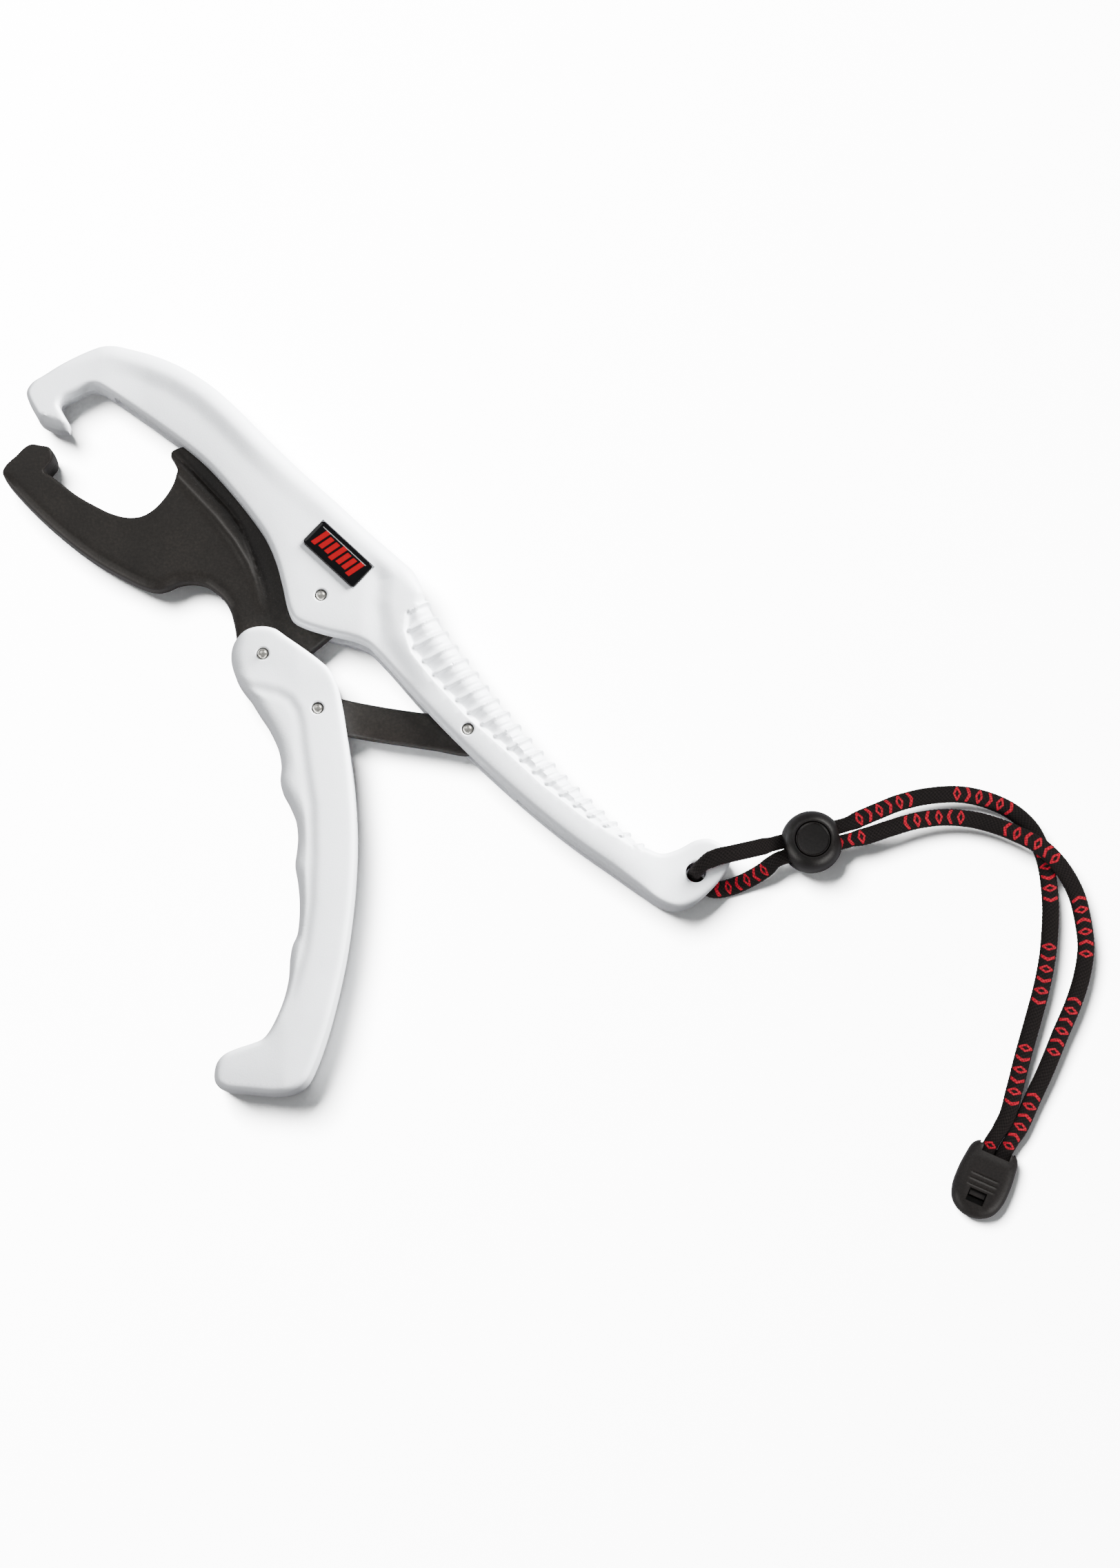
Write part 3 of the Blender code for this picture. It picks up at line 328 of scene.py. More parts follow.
# Rows of the side wall: (share of the way down, bulge). The middle ones make a parting line.
WALL = ((0.22, 0.10), (0.44, 0.15), (0.485, 0.15), (0.5, 0.2), (0.515, 0.15),
        (0.56, 0.15), (0.78, 0.10))
FLAT_WALL = ((0.5, 0.0),)
BORE_RINGS = (1.68, 1.8, 1.95, 2.15, 2.5, 3.1)


def unit_rows(rows):
    return rows / np.maximum(np.linalg.norm(rows, axis=1), 1e-9)[:, None]


def face_points(loop, grid, rings, extra, keep):
    """Points inside loop: rows beside the edge, a triangular grid, and extra ones."""
    side = unit_rows(np.roll(loop, -1, 0) - loop)
    normal = np.stack([-side[:, 1], side[:, 0]], 1)
    normal = unit_rows(normal + np.roll(normal, 1, 0))
    found = []
    for k, inset in enumerate(rings):
        row = loop + normal * inset
        if inset > 1.8:
            row = row[k % 2::2]
        clear = dist_to(row, loop, True) > inset * 0.985 - 0.002
        found.append(row[inside(row, loop) & clear & keep(row)])
    lo, hi = loop.min(0), loop.max(0)
    columns = np.arange(lo[0], hi[0], grid)
    field = np.array([(x + (grid / 2 if j % 2 else 0), y)
                      for j, y in enumerate(np.arange(lo[1], hi[1], grid * 0.866))
                      for x in columns])
    field = field[inside(field, loop)]
    clear = dist_to(field, loop, True) > rings[-1] + grid * 0.4
    found.append(field[clear & keep(field)])
    if len(extra):
        extra = np.asarray(extra, float)
        extra = extra[inside(extra, loop)]
        found.append(extra[dist_to(extra, loop, True) > 0.04])
    found = np.vstack(found)
    # thin out points that crowd each other
    cell = np.round(found / 0.11).astype(np.int64)
    _, first = np.unique(cell[:, 0] * 100003 + cell[:, 1], return_index=True)
    return found[np.sort(first)]


def relief(outline, height, grid, rings=RINGS, extra=(), keep=lambda points: True, wall=WALL):
    """Closed solid over an outline: (vertices, faces).

    height(points, edge) is the half thickness, edge being the distance to the outline.
    """
    loop = np.asarray(outline, float)
    x, y = loop.T
    if (x * np.roll(y, -1) - y * np.roll(x, -1)).sum() < 0:
        loop = loop[::-1].copy()
    points = np.vstack([loop, face_points(loop, grid, rings, extra, keep)])
    mesh = geometry.delaunay_2d_cdt([Vector(p) for p in points], [], [list(range(len(loop)))],
                                    1, 1e-7)
    flat = np.array([(v.x, v.y) for v in mesh[0]])
    top = [tuple(f) for f in mesh[2]]
    z = height(flat, dist_to(flat, loop, True))
    count = len(flat)
    verts = [np.column_stack([flat, z]), np.column_stack([flat, -z])]
    faces = top + [tuple(i + count for i in reversed(f)) for f in top]
    # boundary edges, in the direction of the top faces
    edges = {(a, b) for f in top for a, b in zip(f, f[1:] + f[:1])}
    border = [(a, b) for a, b in edges if (b, a) not in edges]
    outward = {}
    for a, b in border:
        run = flat[b] - flat[a]
        run /= max(np.linalg.norm(run), 1e-9)
        for end in (a, b):
            outward[end] = outward.get(end, 0) + np.array([run[1], -run[0]])
    ids = list(dict(border))
    place = {v: k for k, v in enumerate(ids)}
    normal = np.array([outward[v] / max(np.linalg.norm(outward[v]), 1e-9) for v in ids])
    base = 2 * count
    rows = [ids]
    for share, bulge in wall:
        verts.append(np.column_stack([flat[ids] + normal * bulge, z[ids] * (1 - 2 * share)]))
        rows.append(list(range(base, base + len(ids))))
        base += len(ids)
    rows.append([v + count for v in ids])
    for upper, lower in zip(rows, rows[1:]):
        for a, b in border:
            i, j = place[a], place[b]
            faces.append((upper[j], upper[i], lower[i], lower[j]))
    return np.vstack(verts), faces


def link_object(name, data):
    obj = bpy.data.objects.new(name, data)
    bpy.context.scene.collection.objects.link(obj)
    return obj


def new_object(name, verts, faces, place=None, merge=True):
    """Object in the row frame from millimetre vertices; place is (centre, angle)."""
    verts = np.asarray(verts, float)
    if place is not None:
        centre, angle = place
        verts = np.column_stack([*turn(verts[:, 0], verts[:, 1], angle, centre),
                                 verts[:, 2] + centre[2]])
    mesh = bpy.data.meshes.new(name)
    mesh.from_pydata([tuple(v) for v in (verts + OFFSET) * MM], [], faces)
    work = bmesh.new()
    work.from_mesh(mesh)
    if merge:
        bmesh.ops.remove_doubles(work, verts=work.verts, dist=1e-7)
    bmesh.ops.recalc_face_normals(work, faces=work.faces)
    work.to_mesh(mesh)
    work.free()
    return link_object(name, mesh)


def prism(loop, bottom, top):
    """Cutter with a straight side."""
    loop = np.asarray(loop, float)
    n = len(loop)
    verts = np.vstack([np.column_stack([loop, np.full(n, z)]) for z in (bottom, top)])
    faces = [tuple(range(n - 1, -1, -1)), tuple(range(n, 2 * n))]
    faces += [(i, (i + 1) % n, n + (i + 1) % n, n + i) for i in range(n)]
    return new_object("cutter", verts, faces)


def slab(centre, size, angle):
    """Box cutter."""
    x, y, z = (s / 2 for s in size)
    loop = [turn(i * x, j * y, angle, centre) for i, j in ((-1, -1), (1, -1), (1, 1), (-1, 1))]
    return prism(loop, centre[2] - z, centre[2] + z)


def bore(centre, radius=PIN_BORE, sides=48):
    """Cutter for a round hole right through."""
    return prism(circle_points(centre, (radius,), sides), -12, 12)


def turned(name, profile, centre, sides=96):
    """Turned solid; profile runs (radius, z) from the top axis to the bottom axis."""
    verts, rows = [], []
    for radius, z in profile:
        ring = [(*p, z) for p in circle_points(centre, (radius,), sides)]
        if radius < 1e-6:
            ring = [(*centre, z)]
        rows.append(list(range(len(verts), len(verts) + len(ring))))
        verts += ring
    faces = []
    for upper, lower in zip(rows, rows[1:]):
        for k in range(sides):
            j = (k + 1) % sides
            if len(upper) == 1:
                faces.append((upper[0], lower[k], lower[j]))
            elif len(lower) == 1:
                faces.append((upper[k], lower[0], upper[j]))
            else:
                faces.append((upper[k], lower[k], lower[j], upper[j]))
    return new_object(name, verts, faces)


def round_rect(width, height, radius, steps=8):
    """Rounded rectangle about the origin, with steps segments to a corner."""
    x, y = width / 2 - radius, height / 2 - radius
    corners = ((x, y, 0), (-x, y, 90), (-x, -y, 180), (x, -y, 270))
    return np.array([(cx + radius * math.cos(math.radians(start + 90 * k / steps)),
                      cy + radius * math.sin(math.radians(start + 90 * k / steps)))
                     for cx, cy, start in corners for k in range(steps + 1)])


def dense(loop, step):
    out = []
    for a, b in zip(loop, np.roll(loop, -1, 0)):
        n = max(1, int(np.linalg.norm(b - a) / step))
        out += [a + (b - a) * k / n for k in range(n)]
    return np.array(out)


def pocket_frame(pocket, depth):
    """(length, angle, centre at depth) of a pocket."""
    (x0, y0), (x1, y1), side = pocket
    angle = math.atan2(y1 - y0, x1 - x0)
    centre = ((x0 + x1) / 2 + -math.sin(angle) * side * depth,
              (y0 + y1) / 2 + math.cos(angle) * side * depth, 0)
    return math.hypot(x1 - x0, y1 - y0), angle, centre


def pocket_cutter(pocket, depth):
    clear, thick = 4.0, 3.2        # reach outside the edge, and size along z
    length, angle, centre = pocket_frame(pocket, (depth - clear) / 2)
    return slab(centre, (length, depth + clear, thick), angle)


def pocket_bar(name, pocket, near_depth, far_depth):
    """Rounded bar lying in a pocket."""
    gap, half, corner, edge_round = 0.6, 1.3, 0.45, 0.35
    length, angle, centre = pocket_frame(pocket, (near_depth + far_depth) / 2)
    shape = relief(round_rect(length - gap, far_depth - near_depth, corner, steps=6),
                   lambda points, edge: half - rim(edge, edge_round, edge_round),
                   rings=(0.04, 0.12, 0.22, 0.36), grid=0.9, wall=FLAT_WALL)
    return new_object(name, *shape, (centre, angle))


def cut(obj, cutters):
    """Subtracts the cutters for good and removes them."""
    group = bpy.data.collections.new(obj.name + "_cut")
    for cutter in cutters:
        group.objects.link(cutter)
    mod = obj.modifiers.new("cut", 'BOOLEAN')
    mod.operation = 'DIFFERENCE'
    mod.operand_type = 'COLLECTION'
    mod.collection = group
    mod.solver = 'EXACT'
    graph = bpy.context.evaluated_depsgraph_get()
    graph.update()
    mesh = bpy.data.meshes.new_from_object(obj.evaluated_get(graph), depsgraph=graph)
    obj.modifiers.clear()
    old = obj.data
    obj.data = mesh
    bpy.data.meshes.remove(old)
    for cutter in cutters:
        bpy.data.objects.remove(cutter, do_unlink=True)
    bpy.data.collections.remove(group)


def paint(obj, material):
    obj.data.materials.clear()
    obj.data.materials.append(material)


def dress(obj, material, rides, node, angle=32):
    """Material, shading (sharp beyond angle degrees) and place in the frame."""
    paint(obj, material)
    for face in obj.data.polygons:
        face.use_smooth = True
        face.material_index = 0
    obj.data.set_sharp_from_angle(angle=math.radians(angle))
    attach(obj, rides)
    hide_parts(node)


def add_field(obj, name, values):
    field = obj.data.attributes.new(name, 'FLOAT', 'POINT')
    field.data.foreach_set("value", values.reshape(-1).astype(np.float32))


# ------------------------------------------------------------------ materials
def feed(tree, node, inputs):
    """Sets inputs of a node: a socket is linked, anything else is a value."""
    for key, value in inputs.items():
        if isinstance(value, bpy.types.NodeSocket):
            tree.links.new(value, node.inputs[key])
        else:
            node.inputs[key].default_value = value


def add(tree, kind, inputs=None, **settings):
    node = tree.nodes.new("ShaderNode" + kind)
    for key, value in settings.items():
        setattr(node, key, value)
    feed(tree, node, inputs or {})
    return node


def start_material(name):
    """(material, its tree, its principled shader, object coordinates)."""
    material = bpy.data.materials.new(name)
    material.use_nodes = True
    tree = material.node_tree
    coords = add(tree, "TexCoord").outputs["Object"]
    return material, tree, tree.nodes["Principled BSDF"], coords


def noise(tree, coords, scale, detail, roughness=0.55):
    return add(tree, "TexNoise", {"Scale": scale, "Detail": detail, "Roughness": roughness,
                                  "Vector": coords}).outputs["Fac"]


def ramp(tree, factor, stops):
    """Colour ramp; stops are (position, colour)."""
    node = add(tree, "ValToRGB", {"Fac": factor})
    elements = node.color_ramp.elements
    while len(elements) < len(stops):
        elements.new(0.5)
    for element, (position, colour) in zip(elements, stops):
        element.position = position
        element.color = (*colour, 1.0)
    return node.outputs["Color"]


def to_range(tree, value, low, high):
    return add(tree, "MapRange", {"To Min": low, "To Max": high,
                                  "Value": value}).outputs["Result"]


def mix_colours(tree, factor, first, second, **settings):
    # inputs 6 and 7 and output 2 are the colour sockets
    return add(tree, "Mix", {"Factor": factor, 6: first, 7: second},
               data_type='RGBA', **settings).outputs[2]


def bump(tree, height, strength, distance, **normal):
    return add(tree, "Bump", {"Strength": strength, "Distance": distance, "Height": height,
                              **normal}).outputs["Normal"]


def moulded(name, stops, roughness, grain, grain_bump, ior=1.46, waves=0.0):
    """Moulded plastic: soft colour drift, fine grain, slightly uneven gloss."""
    material, tree, shader, coords = start_material(name)
    drift = noise(tree, coords, scale=60.0, detail=2.0)
    fine = noise(tree, coords, grain, detail=4.0, roughness=0.65)
    tone = add(tree, "Mix", {"Factor": 0.6, "A": drift, "B": fine}).outputs["Result"]
    feed(tree, shader, {"Base Color": ramp(tree, tone, stops),
                        "Roughness": to_range(tree, fine, *roughness),
                        "IOR": ior, "Coat Roughness": 0.25})
    normal = bump(tree, fine, strength=grain_bump, distance=0.00012)
    if waves:
        slow = noise(tree, coords, scale=110.0, detail=2.0)
        normal = bump(tree, slow, strength=waves, distance=0.0012, Normal=normal)
    feed(tree, shader, {"Normal": normal})
    return material


def metal(name, colour, roughness, grain):
    material, tree, shader, coords = start_material(name)
    fine = noise(tree, coords, grain, detail=5.0, roughness=0.7)
    dark = tuple(c * 0.62 for c in colour)
    feed(tree, shader, {"Base Color": ramp(tree, fine, [(0.3, dark), (0.7, colour)]),
                        "Roughness": to_range(tree, fine, *roughness),
                        "Normal": bump(tree, fine, strength=0.35, distance=0.00008),
                        "Metallic": 1.0})
    return material


def marked(name, dark, red, roughness, grain, grain_bump, ior, twill=False):
    """Dark ground with a red mark where the mesh's 'mark' field is above zero; when the weave is
    on, the colour is also multiplied by painted shade in the weave's grooves and painted sheen on
    its crests.
    """
    material, tree, shader, coords = start_material(name)
    fine = noise(tree, coords, grain, detail=4.0, roughness=0.7)
    ground = ramp(tree, fine, list(zip((0.3, 0.7), dark)))
    ink = ramp(tree, fine, list(zip((0.25, 0.75), red)))
    mark = add(tree, "Attribute", attribute_name="mark").outputs["Fac"]
    share = add(tree, "MapRange", {"From Min": -0.04, "From Max": 0.05, "Value": mark})
    colour = mix_colours(tree, share.outputs["Result"], ground, ink)
    normal = bump(tree, fine, strength=grain_bump, distance=0.00010)
    # painted shade and sheen: the colour follows the weave's relief, darker in its grooves and
    # lighter on its crests
    if twill:
        weave_shade_and_sheen = add(tree, "Attribute", attribute_name="twill").outputs["Fac"]
        shade = to_range(tree, weave_shade_and_sheen, low=0.35, high=2.3)
        colour = mix_colours(tree, 1.0, colour, shade, blend_type='MULTIPLY')
    feed(tree, shader, {"Base Color": colour, "Normal": normal,
                        "Roughness": to_range(tree, fine, *roughness), "IOR": ior})
    return material


WHITE = moulded("white_moulding", [(0.3, (0.80, 0.815, 0.835)), (0.7, (0.86, 0.87, 0.89))],
                roughness=(0.36, 0.5), grain=2600.0, grain_bump=0.22, waves=0.06)
BLACK = moulded("black_moulding", [(0.34, (0.0060, 0.0044, 0.0034)),
                                   (0.52, (0.0120, 0.0094, 0.0075)),
                                   (0.68, (0.0216, 0.0174, 0.0142))],
                roughness=(0.42, 0.60), grain=1500.0, grain_bump=0.40, ior=1.42, waves=0.03)
LOCK_BLACK = moulded("lock_moulding", [(0.34, (0.0040, 0.0030, 0.0029)),
                                       (0.66, (0.0085, 0.0066, 0.0063))],
                     roughness=(0.34, 0.5), grain=1900.0, grain_bump=0.3, ior=1.38)
END_BLACK = moulded("end_moulding", [(0.34, (0.0060, 0.0046, 0.0043)),
                                     (0.66, (0.0140, 0.0112, 0.0105))],
                    roughness=(0.42, 0.6), grain=1700.0, grain_bump=0.40, ior=1.36)
STRIP = moulded("strip_moulding", [(0.3, (0.62, 0.64, 0.66)), (0.7, (0.7, 0.71, 0.73))],
                roughness=(0.45, 0.6), grain=2400.0, grain_bump=0.3)
FOAM = moulded("foam", [(0.35, (0.55, 0.55, 0.52)), (0.65, (0.78, 0.78, 0.75))],
               roughness=(0.8, 0.95), grain=2200.0, grain_bump=1.0)
PIN = metal("pin_metal", (0.72, 0.70, 0.64), roughness=(0.16, 0.42), grain=2200.0)
SPRING = metal("spring_metal", (0.6, 0.6, 0.6), roughness=(0.25, 0.45), grain=1800.0)
# woven cord: dark ground, red print, and painted shade in the weave's grooves with painted sheen
# on its crests
CORD_MAT = marked("woven_cord", dark=((0.0045, 0.0035, 0.0035), (0.0130, 0.0105, 0.0102)),
                  red=((0.26, 0.004, 0.014), (0.44, 0.010, 0.028)), roughness=(0.75, 0.98),
                  grain=3200.0, grain_bump=0.5, ior=1.22, twill=True)
BADGE_MAT = marked("badge_face", dark=((0.0016, 0.0016, 0.0022), (0.0032, 0.0032, 0.0042)),
                   red=((0.46, 0.0008, 0.006), (0.55, 0.0014, 0.010)), roughness=(0.05, 0.08),
                   grain=900.0, grain_bump=0.03, ior=1.3)

# ------------------------------------------------------------------ upper body
# Rib frame: the ribs run up to the right at 30 degrees.
RIB_ALONG = np.array([math.cos(math.radians(30)), math.sin(math.radians(30))])
RIB_ACROSS = np.array([RIB_ALONG[1], -RIB_ALONG[0]])


def rib_frame(points):
    """(across the ribs, along the ribs) of points."""
    points = np.asarray(points, float)
    return points @ RIB_ACROSS, points @ RIB_ALONG


BODY_CURVE = smooth_loop(ARM_TOP + HANDLE_TOP + BODY_REST, 0.8)
back_start, back_end = (int(np.argmin(np.hypot(*(BODY_CURVE - np.array(p)).T)))
                        for p in (ARM_TOP[-1], BODY_REST[0]))
back_across, back_along = rib_frame(BODY_CURVE[back_start:back_end + 1])
inner_across, inner_along = rib_frame(RIB_INNER)

rib_line = np.array(RIB_OUTER)
rib_run = np.concatenate([[0], np.cumsum(np.hypot(*np.diff(rib_line, axis=0).T))])
RIBS = rib_frame(resample(rib_line, rib_run, np.linspace(0, rib_run[-1], RIB_COUNT)))[0]


def rib_wave(across):
    """1 on a rib's crest and 0 between ribs; and a hump from each rib to the next."""
    across = np.asarray(across, float)
    i = np.clip(np.searchsorted(RIBS, across + 1.7) - 1, 0, RIB_COUNT - 1)
    past = across - RIBS[i]
    crest = rise(past, -1.2, -0.1) * (1 - rise(past, 0.05, 0.9))
    gap = np.interp(RIBS[i], RIBS[:-1], np.diff(RIBS))
    return crest, np.sin(math.pi * np.clip(past / gap, 0, 1))


def ribbed_edge(across):
    """Outer edge of the handle, along the ribs, with the crests standing out."""
    crest, belly = rib_wave(across)
    zone = (rise(across, RIBS[0] - 3.0, RIBS[0] - 1.2)
            * (1 - rise(across, RIBS[-1] + 0.6, RIBS[-1] + 2.5)))
    return (np.interp(across, back_across, back_along)
            + zone * (-0.42 + 1.08 * crest + 0.2 * belly))


# Mesh columns: offsets from each rib, and three beyond the end ribs.
STEPS = (-1.65, -1.35, -1.1, -0.85, -0.6, -0.4, -0.22, -0.05, 0.1, 0.22, 0.36, 0.5, 0.65,
         0.95, 1.35, 1.8, 2.25)
columns = np.unique(np.round(np.concatenate(
    [rib + np.array(STEPS) for rib in RIBS]
    + [[RIBS[0] - 2.6, RIBS[0] - 2.1, RIBS[-1] + 2.8]]), 3))
columns = columns[np.concatenate([[True], np.diff(columns) > 0.09])]


def body_outline():
    """Body curve with its handle back replaced by the ribbed edge."""
    grip = [RIB_ACROSS * q + RIB_ALONG * a for q, a in zip(columns, ribbed_edge(columns))]
    across = rib_frame(BODY_CURVE)[0]
    drop = (across > columns[0] - 0.25) & (across < columns[-1] + 0.25)
    drop[:back_start] = False
    drop[back_end + 1:] = False
    first = int(np.argmax(drop))
    return np.vstack([BODY_CURVE[:first], grip, BODY_CURVE[first:][~drop[first:]]])


def rib_points():
    """Face points in columns across the ribbed band."""
    out = []
    for q in columns:
        inner = float(np.interp(q, inner_across, inner_along))
        outer = float(ribbed_edge(q))
        rows = [inner + o for o in (-0.7, -0.45, -0.25, -0.05, 0.15, 0.35, 0.55, 0.75, 0.95)]
        edge_rows = [outer - o for o in
                     (0.045, 0.13, 0.26, 0.42, 0.62, 0.88, 1.2, 1.6, 2.1, 2.7, 3.4, 4.2)]
        row = inner + 1.3
        while row < edge_rows[-1] - 0.35:
            rows.append(row)
            row += 0.62
        rows = [a for a in rows if a < edge_rows[-1] - 0.1]
        out += [tuple(RIB_ACROSS * q + RIB_ALONG * a) for a in rows + edge_rows]
    return out


def outside_band(points):
    across, along = rib_frame(points)
    return ~((across > columns[0] - 0.2) & (across < columns[-1] + 0.2)
             & (along > np.interp(across, inner_across, inner_along) - 0.9))


def body_height(points, edge):
    x = points[:, 0]
    across, along = rib_frame(points)
    # thinner towards both ends, averaged to soften the changes of slope
    z = np.zeros(len(points))
    for shift in (-4.0, -2.0, 0.0, 2.0, 4.0):
        z += np.interp(x + shift, [-62, -40, -21, 81, 93], [5.6, 7.0, 8.5, 8.5, 5.4]) / 5
    # raised back of the arm, with the cheek lying lower
    on_arm = rise(x, -60, -46) * (1 - rise(across, 24, 44))
    level = 0.8 - 0.58 * rise(x, -24, -7) + 0.62 * rise(x, 10, 16)
    z -= level * on_arm * rise(dist_to(points, ARM_RIDGE), 3.2, 9.0)
    # faint crown towards the edge
    nose = rise(-x, 50, 60)
    z -= 0.30 * (1 - 0.8 * nose) * near(edge, 6.5) ** 2
    # bevelled end of the hook
    z -= 1.8 * near(dist_to(points, HOOK_END), 2.0)
    # slope down to the lower edge of the handle
    lower = dist_to(points, HANDLE_LOWER)
    on_handle = rise(across, 22, 36)
    z -= 0.35 * on_handle * near(lower, 5.0) ** 2
    z -= 0.07 * rise(across, 45, 70) * (1 - rise(across, 96, 104)) * np.clip(lower - 3, 0, 6)
    # ribs: the floor between them sinks, the crests stay near the face
    inner = np.interp(across, inner_across, inner_along)
    outward = np.clip((along - inner) / np.maximum(ribbed_edge(across) - inner, 0.5), 0, 1)
    crest, belly = rib_wave(across)
    zone = rise(along - inner, -0.7, 1.2) * rise(across, RIBS[0] - 0.5, RIBS[0] + 0.3) \
        * (1 - rise(across, RIBS[-1] - 0.2, RIBS[-1] + 0.5))
    deep = np.interp(across, [15, 30, 55, 98], [1.3, 2.2, 1.7, 1.0])
    floor_drop = (0.8 + (deep - 0.8) * (1 - outward) ** 1.6
                  - 0.38 * belly * rise(outward, 0.1, 0.6))
    z -= zone * floor_drop * (1 - 0.97 * crest * rise(outward, 0.0, 0.14))
    # edge round: fuller on the ribbed band and along the back of the arm
    band = rise(across, 12, 16) * (1 - rise(across, 97, 101)) * rise(outward, 0.3, 0.6)
    on_back = rise(x, -72, -56) * (1 - rise(across, 6, 15))
    near_back = on_back * rise(7.0 - dist_to(points, ARM_BACK), 0.0, 2.5)
    near_lower = on_handle * rise(5.0 - lower, 0, 2)
    width = 1.5 + 0.15 * near_lower - 0.3 * nose + 3.6 * band + 3.2 * near_back
    depth = 1.4 + 0.05 * near_lower - 0.1 * nose + band * (3.4 - 0.35 * crest) + 1.9 * near_back
    z -= rim(edge, width, depth)
    z -= bore_easing(points, (JAW_PIVOT, LINK_REAR))
    z -= bore_easing(points, (LANYARD_EYE,), radius=EYE_BORE, reach=0.6, depth=0.35)
    return np.maximum(z, 1.0)


def build_body():
    extra = rib_points()
    for centre in (JAW_PIVOT, LINK_REAR):
        extra += circle_points(centre, BORE_RINGS)
    extra += circle_points(LANYARD_EYE, (2.75, 2.95, 3.2, 3.6, 4.2))
    for offset in np.arange(3.4, 8.4, 0.55):
        extra += strip_points(ARM_RIDGE[1:], 0.4, 0.8, [offset])
    body = new_object("upper_body_skin", *relief(body_outline(), body_height, grid=1.35,
                                                 extra=extra, keep=outside_band))
    cut(body, [prism(BODY_SLOT, -SLOT, SLOT), bore(JAW_PIVOT), bore(LINK_REAR),
               bore(LANYARD_EYE, EYE_BORE, sides=64),
               slab((*BADGE_C, 8.6), (18.6, 8.3, 1.6), BADGE_ANGLE),
               pocket_cutter(HANDLE_POCKET, depth=7.6)])
    dress(body, WHITE, "body", "upper_body")


# ------------------------------------------------------------------- lower jaw
JAW_RINGS = (0.05, 0.16, 0.32, 0.52, 0.78, 1.1, 1.45, 1.8, 2.1, 2.35, 2.55, 2.75, 2.95, 3.15,
             3.4, 3.75, 4.3)
JAW_SHUT = math.radians(3.7)       # clockwise turn that closes the jaw


def jaw_height(points, edge):
    x, y = points.T
    from_tip = (x + 84) * 0.903 - (y - 40) * 0.43
    face = np.zeros(len(points))
    for shift in (-4.0, 0.0, 4.0):
        face += np.interp(from_tip + shift, [0, 10, 50, 62, 76, 130],
                          [6.25, 6.25, 4.4, 3.7, 2.75, 2.7]) / 3
    # valley where the thick tip side meets the plate on the pivot side
    pivot_side = side_dist(points, JAW_VALLEY)
    tip_side = -pivot_side
    fade = 1 - rise(from_tip, 72, 84)
    z = PLATE + (face - PLATE) * rise(tip_side, -1.9, 2.2)
    z += (0.72 + 0.45 * rise(from_tip, 50, 70)) * fade * bell(tip_side - 1.4, 1.5)
    z -= 0.22 * fade * bell(tip_side + 1.7, 0.9)
    z += 0.42 * (1 - rise(from_tip, 74, 81)) \
        * bell(tip_side + 2.7 - 2.6 * rise(from_tip, 62, 76), 0.5)
    under = rise(pivot_side, 4.2, 5.0)
    z = z * (1 - under) + PLATE * under
    # border band along the lower edge
    band = dist_to(points, JAW_BAND)
    on_band = rise(from_tip, 1.5, 9) * (1 - rise(from_tip, 74, 82))
    z -= on_band * 1.35 * near(band, 2.3) ** 1.1
    z -= on_band * 0.10 * bell(band - 2.45, 0.3)
    # thin enough for the slot where the jaw closes into the arm
    shut = np.column_stack(turn(x, y, -JAW_SHUT))
    outside = np.where(inside(shut, BODY_CURVE), 0.0, dist_to(shut, BODY_CURVE, True))
    z = np.where(from_tip > 30, np.minimum(z, 2.9 + 1.8 * np.maximum(outside - 0.15, 0)), z)
    z -= rim(edge, 0.75, 0.75)
    return np.maximum(z, 0.6)


def build_jaw():
    extra = strip_points(JAW_VALLEY, 0.25, 0.6, np.arange(-4.4, 5.6, 0.36))
    for centre in (JAW_PIVOT, LEVER_PIVOT):
        extra += circle_points(centre, (1.75, 2.0, 2.5))
    jaw = new_object("lower_jaw_skin", *relief(smooth_loop(JAW, 0.55), jaw_height, grid=1.2,
                                               rings=JAW_RINGS, extra=extra))
    cut(jaw, [bore(JAW_PIVOT), bore(LEVER_PIVOT)])
    dress(jaw, BLACK, "jaw", "lower_jaw")


# ----------------------------------------------------------------------- lever
def lever_height(points, edge):
    x, y = points.T
    z = np.full(len(points), FACE)
    left = -side_dist(points, LEVER_CREASE)
    upper = 1 - rise(-y, 98, 112)
    # left side set below the face behind a soft valley
    z -= upper * (0.35 * rise(left, -2.2, 1.8) + 0.18 * bell(left - 0.5, 1.4))
    z -= 0.05 * upper * np.clip(-left - 1, 0, 9) * rise(-y, 20, 32)
    # slopes to the left at the pivot end and at the foot
    z -= 0.08 * np.clip(-6 - x, 0, 16) * (1 - rise(-y, 18, 27))
    z -= 0.08 * np.clip(-8 - x, 0, 18) * rise(-y, 108, 116)
    finger = rise(left, 0.3, 3.2) * upper
    shoulder = rise(-9.0 - x, 0, 5) * (1 - rise(-y, 22, 27)) * rise(-y, 9, 14)
    # crown: the face falls away to both sides
    z -= 0.3 * (1 - finger) * near(edge, 7.5) ** 2
    # edge round: fuller on the left side and at the shoulder
    width = 1.6 + 2.4 * finger + 1.8 * shoulder
    depth = 1.25 + 1.1 * finger + 0.9 * shoulder
    foot = rise(-y, 108, 122)
    width = width * (1 - foot) + 1.7 * foot
    depth = depth * (1 - foot) + 1.6 * foot
    z -= rim(edge, width, depth)
    return z - bore_easing(points, (LEVER_PIVOT, LINK_FRONT))


def build_lever():
    extra = strip_points(LEVER_CREASE, 0.3, 0.8, np.arange(-2.4, 3.6, 0.4))
    for centre in (LEVER_PIVOT, LINK_FRONT):
        extra += circle_points(centre, BORE_RINGS)
    lever = new_object("squeeze_lever_skin", *relief(smooth_loop(LEVER, 0.8), lever_height,
                                                     grid=1.4, extra=extra))
    cut(lever, [prism(LEVER_SLOT, -SLOT, SLOT), bore(LEVER_PIVOT), bore(LINK_FRONT),
                pocket_cutter(LEVER_POCKET, depth=6.6)])
    dress(lever, WHITE, "lever", "squeeze_lever")


